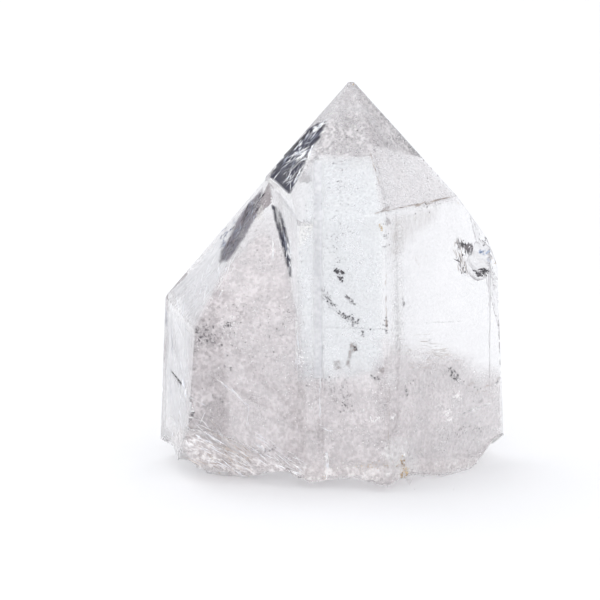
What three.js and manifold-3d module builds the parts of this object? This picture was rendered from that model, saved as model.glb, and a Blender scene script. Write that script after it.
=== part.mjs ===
// Clear quartz crystal: a six-sided point with a shorter point grown in step along its left side, standing
// on the rough break where it came away from the rock. Millimetres, +Z up, the best side facing -Y. The
// origin is on the resting plane, under the middle of the crystal.
import * as THREE from 'three';
import { ConvexGeometry } from 'three/addons/geometries/ConvexGeometry.js';
import { mergeVertices } from 'three/addons/utils/BufferGeometryUtils.js';
import Module from 'manifold-3d';

const wasm = await Module();
wasm.setup();

// Driving dimensions: the stance. The c axis runs up the middle of the tall point.
const CENTRE_HEIGHT = 29.35; // growth centre above the resting plane
const CENTRE_ACROSS = 3.64; // growth centre right of the origin
const CENTRE_DEPTH = -2.32; // growth centre behind the origin
const LEAN_FORWARD = 5.15; // c axis from upright towards the front, degrees
const LEAN_LEFT = 1.6; // c axis from upright towards the left, degrees

// Driving dimensions: the faces. Each is [azimuth, inclination, distance]: the direction of its outward
// normal round the c axis from the front, positive to the right, the normal's angle from the c axis, both
// in degrees, and the distance of the face from the growth centre. Ideal point faces are 51.8 from the axis
// and 60 apart.
const TALL_POINT = {
  frontTip: [-13.0, 50.8, 18.96],
  frontRightTip: [47.2, 52.5, 18.63],
  backRightTip: [106.4, 51.7, 18.9],
  backTip: [167.0, 51.9, 18.62],
  backLeftTip: [227.3, 51.5, 19.11],
  frontLeftTip: [-71.8, 52.1, 18.8],
  frontSide: [-9.5, 89.0, 14.22],
  frontRightSide: [46.8, 89.7, 13.32],
  rightShoulder: [87.2, 70.8, 20.5],
  backRightSide: [107.4, 87.5, 21.67],
  backSide: [167.2, 89.2, 14.4],
  backLeftSide: [227.6, 89.4, 13.2],
  frontLeftSide: [-72.9, 88.6, 12.06],
};
const SHORT_POINT = {
  frontTip: [-12.8, 51.7, 10.46],
  backTip: [167.0, 51.8, 15.2],
  backLeftTip: [227.5, 51.8, 19.0],
  frontLeftTip: [-72.0, 53.0, 18.44],
  frontSide: [-6.3, 90.9, 14.02],
  frontLeftSide: [-72.3, 84.2, 25.5],
  backLeftSide: [227.7, 90.8, 26.9],
  backSide: [167.2, 90.0, 13.4],
  joinedSide: [90.0, 90.0, 1.5],
};

// Driving dimensions: the broken underside. The break is a sheet of shallow hollows this far above the
// resting plane, with lobes that rise above it or hang below it. What would hang lower than the plane is
// worn flat on it.
const BREAK_LEVEL = 1.5;
const BREAK_HOLLOW = 0.55; // height of the hollows above the ridges between them
const BREAK_CELL = 1.3; // spacing of the sheet's grid
// Each row of hollows is [across, depth, start]: how fast it turns along each way, in radians a millimetre.
const HOLLOW_ROWS = [
  [0.31, 0.17, 0.09],
  [-0.2, 0.38, 1.29],
];
// Each lobe is [across, depth, radius, rise].
const BREAK_LOBES = [
  [19.1, -3.2, 5.5, -2.7],
  [-14.9, -5.2, 5.0, -2.6],
  [4.1, 14.8, 7.0, -2.9],
  [-16.9, 9.3, 6.0, -2.4],
  [2.1, 2.3, 7.5, 2.2],
  [-27.4, -0.7, 6.0, 3.4],
  [27.6, 2.8, 4.5, 3.2],
];

// Driving dimensions: shell-shaped breaks along the base and the edges. Each is the centre and radius of
// the hollow, the direction from that centre of the blow that made it, and the spacing and height of its
// ripples.
const SHELL_BREAKS = [
  { centre: [-28.0, -43.9, -24.3], radius: 46.6, blow: [8.1, 38.2, 18.3], spacing: 2.5, height: 0.16 },
  { centre: [25.3, -0.1, 0.9], radius: 2.1, blow: [-0.4, 0.6, 1.0], spacing: 1.4, height: 0.06 },
  { centre: [27.5, -7.3, 32.1], radius: 8.0, blow: [-0.5, 0.9, 0.5], spacing: 1.6, height: 0.1 },
  { centre: [-28.6, 5.6, 11.0], radius: 2.3, blow: [0.9, -0.4, 0.5], spacing: 1.2, height: 0.05 },
  { centre: [-23.1, -14.4, 11.7], radius: 3.5, blow: [0.6, 0.8, 0.6], spacing: 1.4, height: 0.04 },
  { centre: [22.1, 23.8, -3.0], radius: 9.5, blow: [-0.5, -0.8, 0.8], spacing: 2.0, height: 0.16 },
  { centre: [-9.4, 25.2, 3.0], radius: 7.0, blow: [0.6, -1.0, 0.4], spacing: 1.8, height: 0.14 },
];

// Driving dimensions: runs of growth steps, the fine level ledges that cross the sides. Each run has its
// side, the middle of its top step across and along that side from the point nearest the growth centre, its
// number of steps, and a step's width, its drop to the next one and how deep it is cut.
const STEP_UNEVENNESS = 0.28; // how far a step's width and depth stray from the run's, as a share
const GROWTH_RUNS = [
  { side: TALL_POINT.frontRightSide, across: 4.5, along: -8.2, steps: 4, width: 9.5, drop: 1.1, cut: 0.09 },
  { side: TALL_POINT.frontRightSide, across: 11, along: -17.5, steps: 3, width: 7, drop: 1.6, cut: 0.08 },
  { side: TALL_POINT.backRightSide, across: 2, along: -3.5, steps: 6, width: 8.5, drop: 2.1, cut: 0.14 },
  { side: TALL_POINT.backSide, across: -1.5, along: -4.0, steps: 7, width: 15, drop: 2.4, cut: 0.16 },
  { side: SHORT_POINT.backLeftSide, across: 4.5, along: -8, steps: 6, width: 12, drop: 1.9, cut: 0.13 },
  { side: SHORT_POINT.frontLeftSide, across: -5.5, along: -9.5, steps: 4, width: 8, drop: 1.7, cut: 0.08 },
];

const TOLERANCE = 1e-4; // distance under which two points are one
const UP = new THREE.Vector3(0, 0, 1);
const COLOUR = 0xe6e3e6;

/** The turn from the crystal's own frame, with the c axis upright, to its stance. */
function stanceTurn() {
  const forward = new THREE.Matrix4().makeRotationX(THREE.MathUtils.degToRad(LEAN_FORWARD));
  const sideways = new THREE.Matrix4().makeRotationY(THREE.MathUtils.degToRad(-LEAN_LEFT));
  return sideways.multiply(forward);
}

/** A face's plane in the stance, facing out, from its angles and its distance from the growth centre. */
function facePlane([azimuth, inclination, distance]) {
  const around = THREE.MathUtils.degToRad(azimuth);
  const down = THREE.MathUtils.degToRad(inclination);
  const normal = new THREE.Vector3(
    Math.sin(around) * Math.sin(down),
    -Math.cos(around) * Math.sin(down),
    Math.cos(down),
  );
  const centre = new THREE.Vector3(CENTRE_ACROSS, CENTRE_DEPTH, CENTRE_HEIGHT);
  normal.applyMatrix4(stanceTurn()).normalize();
  return new THREE.Plane(normal, -(normal.dot(centre) + distance));
}

/** The point where three planes meet, or null where two of them are parallel. */
function meetingPoint(first, second, third) {
  const rows = new THREE.Matrix3().set(
    first.normal.x, first.normal.y, first.normal.z,
    second.normal.x, second.normal.y, second.normal.z,
    third.normal.x, third.normal.y, third.normal.z,
  );
  if (Math.abs(rows.determinant()) < TOLERANCE) {
    return null;
  }
  const distances = new THREE.Vector3(-first.constant, -second.constant, -third.constant);
  return distances.applyMatrix3(rows.invert());
}

/** The closed body bounded by a set of outward planes. */
function boundedBody(planes) {
  const corners = [];
  planes.forEach((first, i) => {
    planes.slice(i + 1).forEach((second, j) => {
      planes.slice(i + j + 2).forEach((third) => {
        const point = meetingPoint(first, second, third);
        if (point && planes.every((plane) => plane.distanceToPoint(point) < TOLERANCE)) {
          corners.push(point);
        }
      });
    });
  });
  const separate = corners.filter((point, i) => {
    return corners.slice(0, i).every((earlier) => earlier.distanceTo(point) > 10 * TOLERANCE);
  });
  return new ConvexGeometry(separate);
}

/** A closed geometry as a solid that can be joined and cut. */
function toSolid(geometry) {
  const bare = geometry.index ? geometry.clone() : geometry;
  bare.deleteAttribute('normal');
  bare.deleteAttribute('uv');
  const merged = mergeVertices(bare, TOLERANCE);
  return new wasm.Manifold(new wasm.Mesh({
    numProp: 3,
    vertProperties: new Float32Array(merged.attributes.position.array),
    triVerts: new Uint32Array(merged.index.array),
  }));
}

/** A solid's surface as a geometry with flat-shaded faces. */
function toGeometry(solid) {
  const { vertProperties, triVerts } = solid.getMesh();
  const geometry = new THREE.BufferGeometry();
  geometry.setAttribute('position', new THREE.BufferAttribute(new Float32Array(vertProperties), 3));
  geometry.setIndex(new THREE.BufferAttribute(new Uint32Array(triVerts), 1));
  geometry.computeVertexNormals();
  return geometry;
}

/** One crystal of the pair, running down past the resting plane, where the break then cuts it. */
function crystal(faces) {
  const depthBelow = 5;
  const planes = Object.values(faces).map(facePlane);
  planes.push(new THREE.Plane(UP.clone().negate(), -depthBelow));
  return toSolid(boundedBody(planes));
}

/** Height of the broken underside above the resting plane. */
function breakHeight(x, y) {
  const lobes = BREAK_LOBES.reduce((sum, [across, depth, radius, rise]) => {
    const away = Math.hypot(x - across, y - depth) / radius;
    return sum + rise * Math.exp(-away * away);
  }, 0);
  const hollows = HOLLOW_ROWS.reduce((sum, [across, depth, start]) => {
    const arch = Math.abs(Math.sin(across * x + depth * y + start));
    return sum + arch - 2 / Math.PI;
  }, 0);
  return Math.max(0, BREAK_LEVEL + lobes + BREAK_HOLLOW * hollows);
}

/** What lies under the break, as a block with a wavy top. */
function underBreak() {
  const width = 66;
  const depth = 54;
  const thickness = 10;
  const block = new THREE.BoxGeometry(
    width, depth, thickness,
    Math.round(width / BREAK_CELL), Math.round(depth / BREAK_CELL), 1,
  );
  const position = block.attributes.position;
  for (let i = 0; i < position.count; i += 1) {
    const isTop = position.getZ(i) > 0;
    position.setZ(i, isTop ? breakHeight(position.getX(i), position.getY(i)) : -thickness);
  }
  return toSolid(block);
}

/** What a shell-shaped break takes away: a ball whose ripples ring the direction of the blow. */
function shellBreak({ centre, radius, blow, spacing, height }) {
  const ripples = Math.round((Math.PI * radius) / spacing);
  const ball = new THREE.SphereGeometry(radius, Math.max(24, 2 * ripples), 4 * ripples);
  const position = ball.attributes.position;
  const poleToBlow = new THREE.Quaternion().setFromUnitVectors(
    new THREE.Vector3(0, 1, 0),
    new THREE.Vector3(...blow).normalize(),
  );
  const point = new THREE.Vector3();
  for (let i = 0; i < position.count; i += 1) {
    point.fromBufferAttribute(position, i);
    const fromBlow = Math.acos(THREE.MathUtils.clamp(point.y / radius, -1, 1));
    point.setLength(radius + height * Math.cos(2 * ripples * fromBlow));
    point.applyQuaternion(poleToBlow);
    position.setXYZ(i, point.x + centre[0], point.y + centre[1], point.z + centre[2]);
  }
  return toSolid(ball);
}

/** What one growth step takes away: a block that leans into the side and leaves a ledge at its foot. */
function growthStep({ side, across, along, width, drop, cut }, index) {
  const plane = facePlane(side);
  const sideways = UP.clone().applyMatrix4(stanceTurn()).cross(plane.normal).normalize();
  const upwards = plane.normal.clone().cross(sideways);
  const inwards = plane.normal.clone().negate();
  const centre = new THREE.Vector3(CENTRE_ACROSS, CENTRE_DEPTH, CENTRE_HEIGHT);
  const thickness = 2;
  const uneven = Math.sin(2.3 * index);
  const scale = 1 + STEP_UNEVENNESS * uneven;
  const block = new THREE.BoxGeometry(width * scale, thickness, drop);
  block.translate(0, -thickness / 2, -drop / 2);
  block.rotateX(Math.atan((cut * scale) / drop));
  const middle = plane.projectPoint(centre, new THREE.Vector3())
    .addScaledVector(sideways, across + uneven)
    .addScaledVector(upwards, along - drop * index);
  block.applyMatrix4(new THREE.Matrix4().makeBasis(sideways, inwards, upwards).setPosition(middle));
  return toSolid(block);
}

/** The whole crystal: both points joined, stepped along the sides, broken along the base and chipped. */
function quartzCrystal() {
  const steps = GROWTH_RUNS.flatMap((run) => {
    return Array.from({ length: run.steps }, (_, index) => growthStep(run, index));
  });
  const removed = [...steps, underBreak(), ...SHELL_BREAKS.map(shellBreak)];
  const joined = crystal(TALL_POINT).add(crystal(SHORT_POINT));
  const broken = removed.reduce((solid, cutter) => solid.subtract(cutter), joined);
  const material = new THREE.MeshStandardMaterial({ color: COLOUR, roughness: 0.08, metalness: 0 });
  const mesh = new THREE.Mesh(toGeometry(broken), material);
  mesh.name = 'quartz_crystal';
  return mesh;
}

const part = new THREE.Group();
part.add(quartzCrystal());

export default part;
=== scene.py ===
"""Looks of the clear quartz crystal: its faces, its break, what is inside it, and the studio."""
import logging
import math
from dataclasses import dataclass, field

import bmesh
import bpy
import numpy as np
from mathutils import Matrix, Vector
from mathutils.bvhtree import BVHTree
from mathutils.geometry import delaunay_2d_cdt


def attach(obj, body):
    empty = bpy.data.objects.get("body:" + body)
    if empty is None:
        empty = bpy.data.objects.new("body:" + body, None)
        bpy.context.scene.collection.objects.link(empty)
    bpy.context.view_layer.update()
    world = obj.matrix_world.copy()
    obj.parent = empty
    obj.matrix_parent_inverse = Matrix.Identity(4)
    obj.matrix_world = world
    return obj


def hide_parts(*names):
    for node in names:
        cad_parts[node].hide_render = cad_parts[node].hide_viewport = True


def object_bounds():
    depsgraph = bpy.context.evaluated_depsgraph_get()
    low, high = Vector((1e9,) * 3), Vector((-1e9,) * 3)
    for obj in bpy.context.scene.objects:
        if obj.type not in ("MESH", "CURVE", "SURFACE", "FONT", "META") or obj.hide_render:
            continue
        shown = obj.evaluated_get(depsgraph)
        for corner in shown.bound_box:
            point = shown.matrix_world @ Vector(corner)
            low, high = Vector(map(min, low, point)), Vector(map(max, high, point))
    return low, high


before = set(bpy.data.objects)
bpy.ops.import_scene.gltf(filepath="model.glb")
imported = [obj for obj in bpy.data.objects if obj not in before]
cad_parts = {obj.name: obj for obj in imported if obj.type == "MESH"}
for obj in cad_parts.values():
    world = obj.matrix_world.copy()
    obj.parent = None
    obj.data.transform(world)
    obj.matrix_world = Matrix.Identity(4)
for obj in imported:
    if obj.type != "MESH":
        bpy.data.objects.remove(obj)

LOG = logging.getLogger("crystal")
CAD_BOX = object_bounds()
NODE = "quartz_crystal"
BODY = "root"
MM = 0.001
QUARTZ_IOR = 1.544
# Millimetres of sound quartz between the surface and what is inside.
SKIN = 0.12
PIXELS_A_MM = 6.7
# The line of sight falls this much for each millimetre that it goes back from its start.
SIGHT_DROP = 0.105
SIGHT_START = -16.0
# A sheet's cell with a longer side than this bridges a fold of the surface: in steps, and at least in mm.
FOLD_STEPS = 6.0
FOLD_LEAST = 1.2
RIB_ACROSS = np.array([-0.57, 0.0, -0.82])
C_AXIS = np.array([-0.0278, -0.0897, 0.9956])

Array = np.ndarray
Nodes = bpy.types.ShaderNodeTree
Piece = bpy.types.Object
Material = bpy.types.Material
Node = bpy.types.Node
Socket = bpy.types.NodeSocket
Colour = tuple[float, float, float]
Spot = tuple[float, float]


# Numbers and noise.


def unit(vectors: Array) -> Array:
    """Scale vectors to length one.

    Args:
        vectors: One vector, or rows of vectors.

    Returns:
        The same vectors at length one.
    """
    length = np.linalg.norm(vectors, axis=-1, keepdims=True)
    return vectors / np.maximum(length, 1e-12)


def ease(values: Array, low: float, high: float) -> Array:
    """Ease values from 0 at low to 1 at high.

    Args:
        values: The values to ease.
        low: Where the result is 0.
        high: Where the result is 1.

    Returns:
        Numbers from 0 to 1.
    """
    t = np.clip((values - low) / (high - low), 0.0, 1.0)
    return t * t * (3.0 - 2.0 * t)


def on_plane(u: Array, v: Array, across: float, up: float) -> Array:
    """Places in a plane as rows of three coordinates, in cells of the given sizes."""
    return np.stack([u / across, v / up, np.zeros_like(u)], -1)


@dataclass(frozen=True)
class Grain:
    """Smooth random values in space, the same on every run."""

    seed: int

    def _lattice(self, cell: Array) -> Array:
        """Random value from 0 to 1 at whole-number points."""
        x, y, z = (cell[..., i].astype(np.int64) for i in range(3))
        h = (x * 374761393 + y * 668265263 + z * 2147483647 + self.seed * 974711) & 0xFFFFFFFF
        h = ((h ^ (h >> 13)) * 1274126177) & 0xFFFFFFFF
        h = ((h ^ (h >> 16)) * 2246822519) & 0xFFFFFFFF
        return ((h ^ (h >> 15)) & 0xFFFFFF) / float(0xFFFFFF)

    def at(self, points: Array) -> Array:
        """Value noise.

        Args:
            points: Rows of three coordinates, in lattice cells.

        Returns:
            A value from 0 to 1 for each row.
        """
        base = np.floor(points)
        t = points - base
        t = t * t * (3.0 - 2.0 * t)
        total = np.zeros(points.shape[:-1])
        for corner in np.ndindex(2, 2, 2):
            offset = np.array(corner, float)
            weight = np.prod(np.where(offset > 0, t, 1.0 - t), axis=-1)
            total += weight * self._lattice(base + offset)
        return total

    def cloud(self, points: Array, octaves: int = 3) -> Array:
        """Several layers of noise, each finer and fainter.

        Args:
            points: Rows of three coordinates, in cells of the coarsest layer.
            octaves: Number of layers.

        Returns:
            A value from 0 to 1 for each row.
        """
        total, weight, share = 0.0, 0.0, 1.0
        for octave in range(octaves):
            total = total + share * self.at(points * 2.03**octave + 17.3 * octave)
            weight += share
            share *= 0.5
        return total / weight


# The photograph's view.


@dataclass(frozen=True)
class ViewPoint:
    """The camera's place and lens, and what each point of its picture looks at."""

    place: tuple[float, float, float] = (0.00011, -0.27508, 0.0722)
    aim: tuple[float, float, float] = (-0.00474, -0.00525, 0.0269)
    lens: float = 110.0
    sensor: float = 36.0
    picture: int = 600

    def turn(self) -> Matrix:
        """Turn of the camera, which looks along its own -Z with +Y up."""
        sight = Vector(self.aim) - Vector(self.place)
        return sight.to_track_quat("-Z", "Y").to_matrix()

    def ray(self, across: float, down: float) -> Vector:
        """Direction in which a point of the picture looks.

        Args:
            across: Pixels from the left edge.
            down: Pixels from the top edge.

        Returns:
            A unit direction.
        """
        focal = self.lens / self.sensor * self.picture
        half = self.picture / 2
        return (self.turn() @ Vector((across - half, half - down, -focal))).normalized()

    def camera(self) -> None:
        """Make the camera and use it."""
        data = bpy.data.cameras.new("camera")
        data.lens = self.lens
        data.sensor_width = self.sensor
        data.clip_start = 0.01
        data.clip_end = 20.0
        camera = bpy.data.objects.new("camera", data)
        camera.matrix_world = Matrix.Translation(self.place) @ self.turn().to_4x4()
        bpy.context.scene.collection.objects.link(camera)
        bpy.context.scene.camera = camera


class Sight:
    """Finds points on and inside the crystal from where they show in the picture."""

    def __init__(self, view: ViewPoint, solid: Piece) -> None:
        """Keep the view and a search tree of the solid."""
        self.view = view
        mesh = solid.data
        corners = [vertex.co.copy() for vertex in mesh.vertices]
        self.tree = BVHTree.FromPolygons(corners, [tuple(face.vertices) for face in mesh.polygons])

    def surface(self, across: float, down: float) -> tuple[Vector, Vector] | None:
        """The surface point that shows at a place in the picture.

        Args:
            across: Pixels from the left edge.
            down: Pixels from the top edge.

        Returns:
            The point and its outward normal in metres, or None beside the crystal.
        """
        start = Vector(self.view.place)
        hit, normal, _, _ = self.tree.ray_cast(start, self.view.ray(across, down))
        return None if hit is None else (hit, normal)

    def line(self, across: float, down: float) -> tuple[Vector, Vector, float] | None:
        """The bent line of sight inside the crystal behind a place in the picture.

        Args:
            across: Pixels from the left edge.
            down: Pixels from the top edge.

        Returns:
            Where it enters, its direction, and its length to the far side in millimetres, or None.
        """
        found = self.surface(across, down)
        if found is None:
            return None
        point, normal = found
        ray = self.view.ray(across, down)
        cosine = -ray.dot(normal)
        ratio = 1.0 / QUARTZ_IOR
        bent = ray * ratio + normal * (ratio * cosine - math.sqrt(1.0 - ratio**2 * (1.0 - cosine**2)))
        bent.normalize()
        _, _, _, room = self.tree.ray_cast(point + bent * 0.02 * MM, bent)
        return point, bent, (room / MM if room else 0.3)

    def inside(self, across: float, down: float, depth: float) -> Vector | None:
        """The point inside the crystal that shows at a place in the picture.

        Args:
            across: Pixels from the left edge.
            down: Pixels from the top edge.
            depth: Millimetres along the bent line of sight; below zero, millimetres out from the surface.

        Returns:
            The point in millimetres, or None beside the crystal.
        """
        found = self.line(across, down)
        if found is None:
            return None
        point, bent, room = found
        if depth < 0.0:
            return point / MM - self.surface(across, down)[1] * depth
        length = min(depth, room - SKIN)
        return (point + bent * max(length, min(SKIN, room / 2)) * MM) / MM

    def fitted(self, spot: Array) -> tuple[float, Array]:
        """How deep a point is inside the crystal, and the nearest point just under its surface.

        Args:
            spot: The point, in millimetres.

        Returns:
            The depth, below zero outside, and the nearest point under the surface, both in millimetres.
        """
        hit, normal, _, away = self.tree.find_nearest(Vector(spot) * MM)
        below = (Vector(spot) * MM - hit).dot(normal) < 0
        return (away if below else -away) / MM, np.array(hit / MM) - SKIN * np.array(normal)


# Meshes.


def add_piece(name: str, points: Array, faces: list | Array, finish: Material) -> Piece:
    """Make one piece of the crystal from points in millimetres.

    Args:
        name: The piece's name.
        points: Rows of points, in millimetres.
        faces: Rows of point numbers.
        finish: The piece's material.

    Returns:
        The new object, riding with the crystal.
    """
    mesh = bpy.data.meshes.new(name)
    mesh.from_pydata((np.asarray(points) * MM).tolist(), [], [tuple(int(i) for i in face) for face in faces])
    mesh.update()
    mesh.materials.append(finish)
    piece = bpy.data.objects.new(name, mesh)
    bpy.context.scene.collection.objects.link(piece)
    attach(piece, BODY)
    return piece


def carry(piece: Piece, name: str, kind: str, values: Array) -> None:
    """Shade a piece smooth and give its points values that its material reads.

    Args:
        piece: The piece.
        name: The name of the values.
        kind: What one value is, FLOAT or FLOAT_VECTOR.
        values: One value or one row for each point.
    """
    mesh = piece.data
    mesh.polygons.foreach_set("use_smooth", np.ones(len(mesh.polygons), bool))
    layer = mesh.attributes.new(name, kind, "POINT")
    layer.data.foreach_set("vector" if kind == "FLOAT_VECTOR" else "value", values.astype(np.float32).ravel())


@dataclass
class Solid:
    """A closed triangle mesh in millimetres."""

    points: Array
    triangles: Array

    @classmethod
    def of(cls, node: Piece) -> "Solid":
        """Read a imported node's mesh, with points that meet made one.

        Args:
            node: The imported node.

        Returns:
            The node's shape.
        """
        mesh = node.data
        mesh.calc_loop_triangles()
        flat = np.empty(len(mesh.vertices) * 3, np.float32)
        mesh.vertices.foreach_get("co", flat)
        corners = np.empty(len(mesh.loop_triangles) * 3, np.int32)
        mesh.loop_triangles.foreach_get("vertices", corners)
        rounded = np.round(flat.reshape(-1, 3).astype(float) / MM, 3)
        points, same = np.unique(rounded, axis=0, return_inverse=True)
        return cls(points, same.reshape(-1)[corners].reshape(-1, 3)).tidied()

    def tidied(self) -> "Solid":
        """The same mesh without triangles that have no area."""
        t = self.triangles
        whole = (t[:, 0] != t[:, 1]) & (t[:, 1] != t[:, 2]) & (t[:, 2] != t[:, 0])
        return Solid(self.points, t[whole])

    def normals(self) -> tuple[Array, Array]:
        """Unit normals and areas of the triangles."""
        a, b, c = (self.points[self.triangles[:, i]] for i in range(3))
        cross = np.cross(b - a, c - a)
        return unit(cross), 0.5 * np.linalg.norm(cross, axis=1)


@dataclass
class Facet:
    """One flat crystal face."""

    normal: Array
    offset: float
    area: float

    def height(self, points: Array) -> Array:
        """Distance of points above the face, in millimetres."""
        return points @ self.normal - self.offset

    def frame(self) -> tuple[Array, Array]:
        """Directions across the face, level round the c axis, and up along it."""
        across = unit(np.cross(C_AXIS, self.normal))
        if np.linalg.norm(np.cross(C_AXIS, self.normal)) < 0.05:
            across = unit(np.cross([0.0, 1.0, 0.0], self.normal))
        return across, np.cross(self.normal, across)

    def is_side(self) -> bool:
        """Whether the face is one of the upright sides."""
        return abs(float(self.normal @ C_AXIS)) < 0.2


@dataclass
class FaceMap:
    """Sorts a solid's triangles into its flat crystal faces and the rest, and takes the ledges out."""

    solid: Solid
    least_area: float = 12.0
    same_turn: float = 0.4
    same_offset: float = 0.02
    ledge_turn: float = 9.0
    ledge_depth: float = 0.36
    ledge_area: float = 48.0
    least_patch: float = 0.4
    on_face: float = 0.012
    weld: float = 0.03
    underside: float = -0.9
    facets: list[Facet] = field(default_factory=list)

    def _clusters(self) -> tuple[Array, list[Facet]]:
        """Group the triangles that lie in one plane, largest first."""
        normals, areas = self.solid.normals()
        centres = self.solid.points[self.solid.triangles].mean(1)
        label = np.full(len(areas), -1)
        groups: list[Facet] = []
        turn = math.cos(math.radians(self.same_turn))
        left = areas.copy()
        while left.max() > self.least_patch:
            seed = int(left.argmax())
            normal = normals[seed]
            offset = float(centres[seed] @ normal)
            match = (label < 0) & (normals @ normal > turn)
            match &= np.abs(centres @ normal - offset) < self.same_offset
            label[match] = len(groups)
            groups.append(Facet(normal, offset, float(areas[match].sum())))
            left[match] = 0.0
        return label, groups

    def sort(self) -> Array:
        """Flatten the ledges and label every triangle.

        Returns:
            For each triangle of the solid, the number of its face, or -1 on a break.
        """
        label, groups = self._clusters()
        by_size = sorted(range(len(groups)), key=lambda i: -groups[i].area)
        level = math.cos(math.radians(self.ledge_turn))
        ledges: dict[int, int] = {}
        for i in by_size:
            group = groups[i]
            middle = self.solid.points[self.solid.triangles[label == i]].reshape(-1, 3).mean(0)
            near = [
                k for k, facet in enumerate(self.facets)
                if facet.normal @ group.normal > level and -self.ledge_depth < facet.height(middle) < 0.001
            ]
            if near and group.area < self.ledge_area:
                ledges[i] = near[0]
            elif group.area > self.least_area and group.normal[2] > self.underside:
                self.facets.append(group)
        for i, k in ledges.items():
            touched = np.unique(self.solid.triangles[label == i])
            facet = self.facets[k]
            low = touched[np.abs(facet.height(self.solid.points[touched])) < self.ledge_depth]
            drop = facet.height(self.solid.points[low])
            self.solid.points[low] -= drop[:, None] * facet.normal
        self._weld()
        return self._label()

    def _weld(self) -> None:
        """Make points one where they all but meet."""
        bm = bmesh.new()
        for point in self.solid.points:
            bm.verts.new(point)
        bm.verts.ensure_lookup_table()
        for triangle in self.solid.triangles:
            try:
                bm.faces.new([bm.verts[int(i)] for i in triangle])
            except ValueError:
                continue
        bmesh.ops.remove_doubles(bm, verts=bm.verts, dist=self.weld)
        bmesh.ops.dissolve_degenerate(bm, dist=0.004, edges=bm.edges)
        bmesh.ops.triangulate(bm, faces=bm.faces)
        loose = [vertex for vertex in bm.verts if not vertex.link_faces]
        bmesh.ops.delete(bm, geom=loose, context="VERTS")
        bm.verts.index_update()
        points = np.array([vertex.co for vertex in bm.verts])
        triangles = np.array([[vertex.index for vertex in face.verts] for face in bm.faces])
        bm.free()
        self.solid = Solid(points, triangles)

    def _label(self) -> Array:
        """Label triangles whose three corners lie in one face."""
        normals, _ = self.solid.normals()
        label = np.full(len(self.solid.triangles), -1)
        for k, facet in enumerate(self.facets):
            on_plane = np.abs(facet.height(self.solid.points)) < self.on_face
            flat = on_plane[self.solid.triangles].all(1) & (normals @ facet.normal > 0.9)
            label[flat & (label < 0)] = k
        return label


@dataclass
class Relief:
    """Growth marks of a crystal face: how far each point lies under the ideal plane, in millimetres."""

    facet: Facet
    number: int

    def depth(self, points: Array) -> Array:
        """Depth under the plane.

        Args:
            points: Rows of points on the face, in millimetres.

        Returns:
            Depths, none below zero.
        """
        across, up = self.facet.frame()
        u, v = points @ across, points @ up
        seed = 31 * self.number
        if self.facet.is_side():
            return self._side(u, v, seed)
        return self._tip(u, v, seed)

    def _side(self, u: Array, v: Array, seed: int) -> Array:
        """Level striations, low terraces and a gentle swell."""
        fine = Grain(seed + 1).at(on_plane(u, v, 9.0, 0.85))
        broad = Grain(seed + 2).cloud(on_plane(u, v, 15.0, 3.4), 2)
        where = ease(Grain(seed + 3).cloud(on_plane(u, v, 9.0, 7.0), 2), 0.42, 0.62)
        swell = Grain(seed + 4).at(on_plane(u, v, 12.0, 14.0))
        climb = 5.0 * Grain(seed + 5).cloud(on_plane(u, v, 16.0, 9.0), 2)
        terrace = np.floor(climb) + ease(climb - np.floor(climb), 0.42, 0.58)
        return 0.016 * fine * where + 0.016 * broad + 0.03 * swell + 0.016 * terrace

    def _tip(self, u: Array, v: Array, seed: int) -> Array:
        """Low growth hills, terraces round them and small pits."""
        swell = Grain(seed + 4).cloud(on_plane(u, v, 10.0, 10.0), 2)
        climb = 7.0 * Grain(seed + 5).cloud(on_plane(u, v, 9.0, 9.0), 2)
        terrace = np.floor(climb) + ease(climb - np.floor(climb), 0.4, 0.6)
        pocks = ease(Grain(seed + 6).at(on_plane(u, v, 0.9, 0.9)), 0.84, 0.95)
        return 0.035 * swell + 0.012 * terrace + 0.03 * pocks


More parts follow.
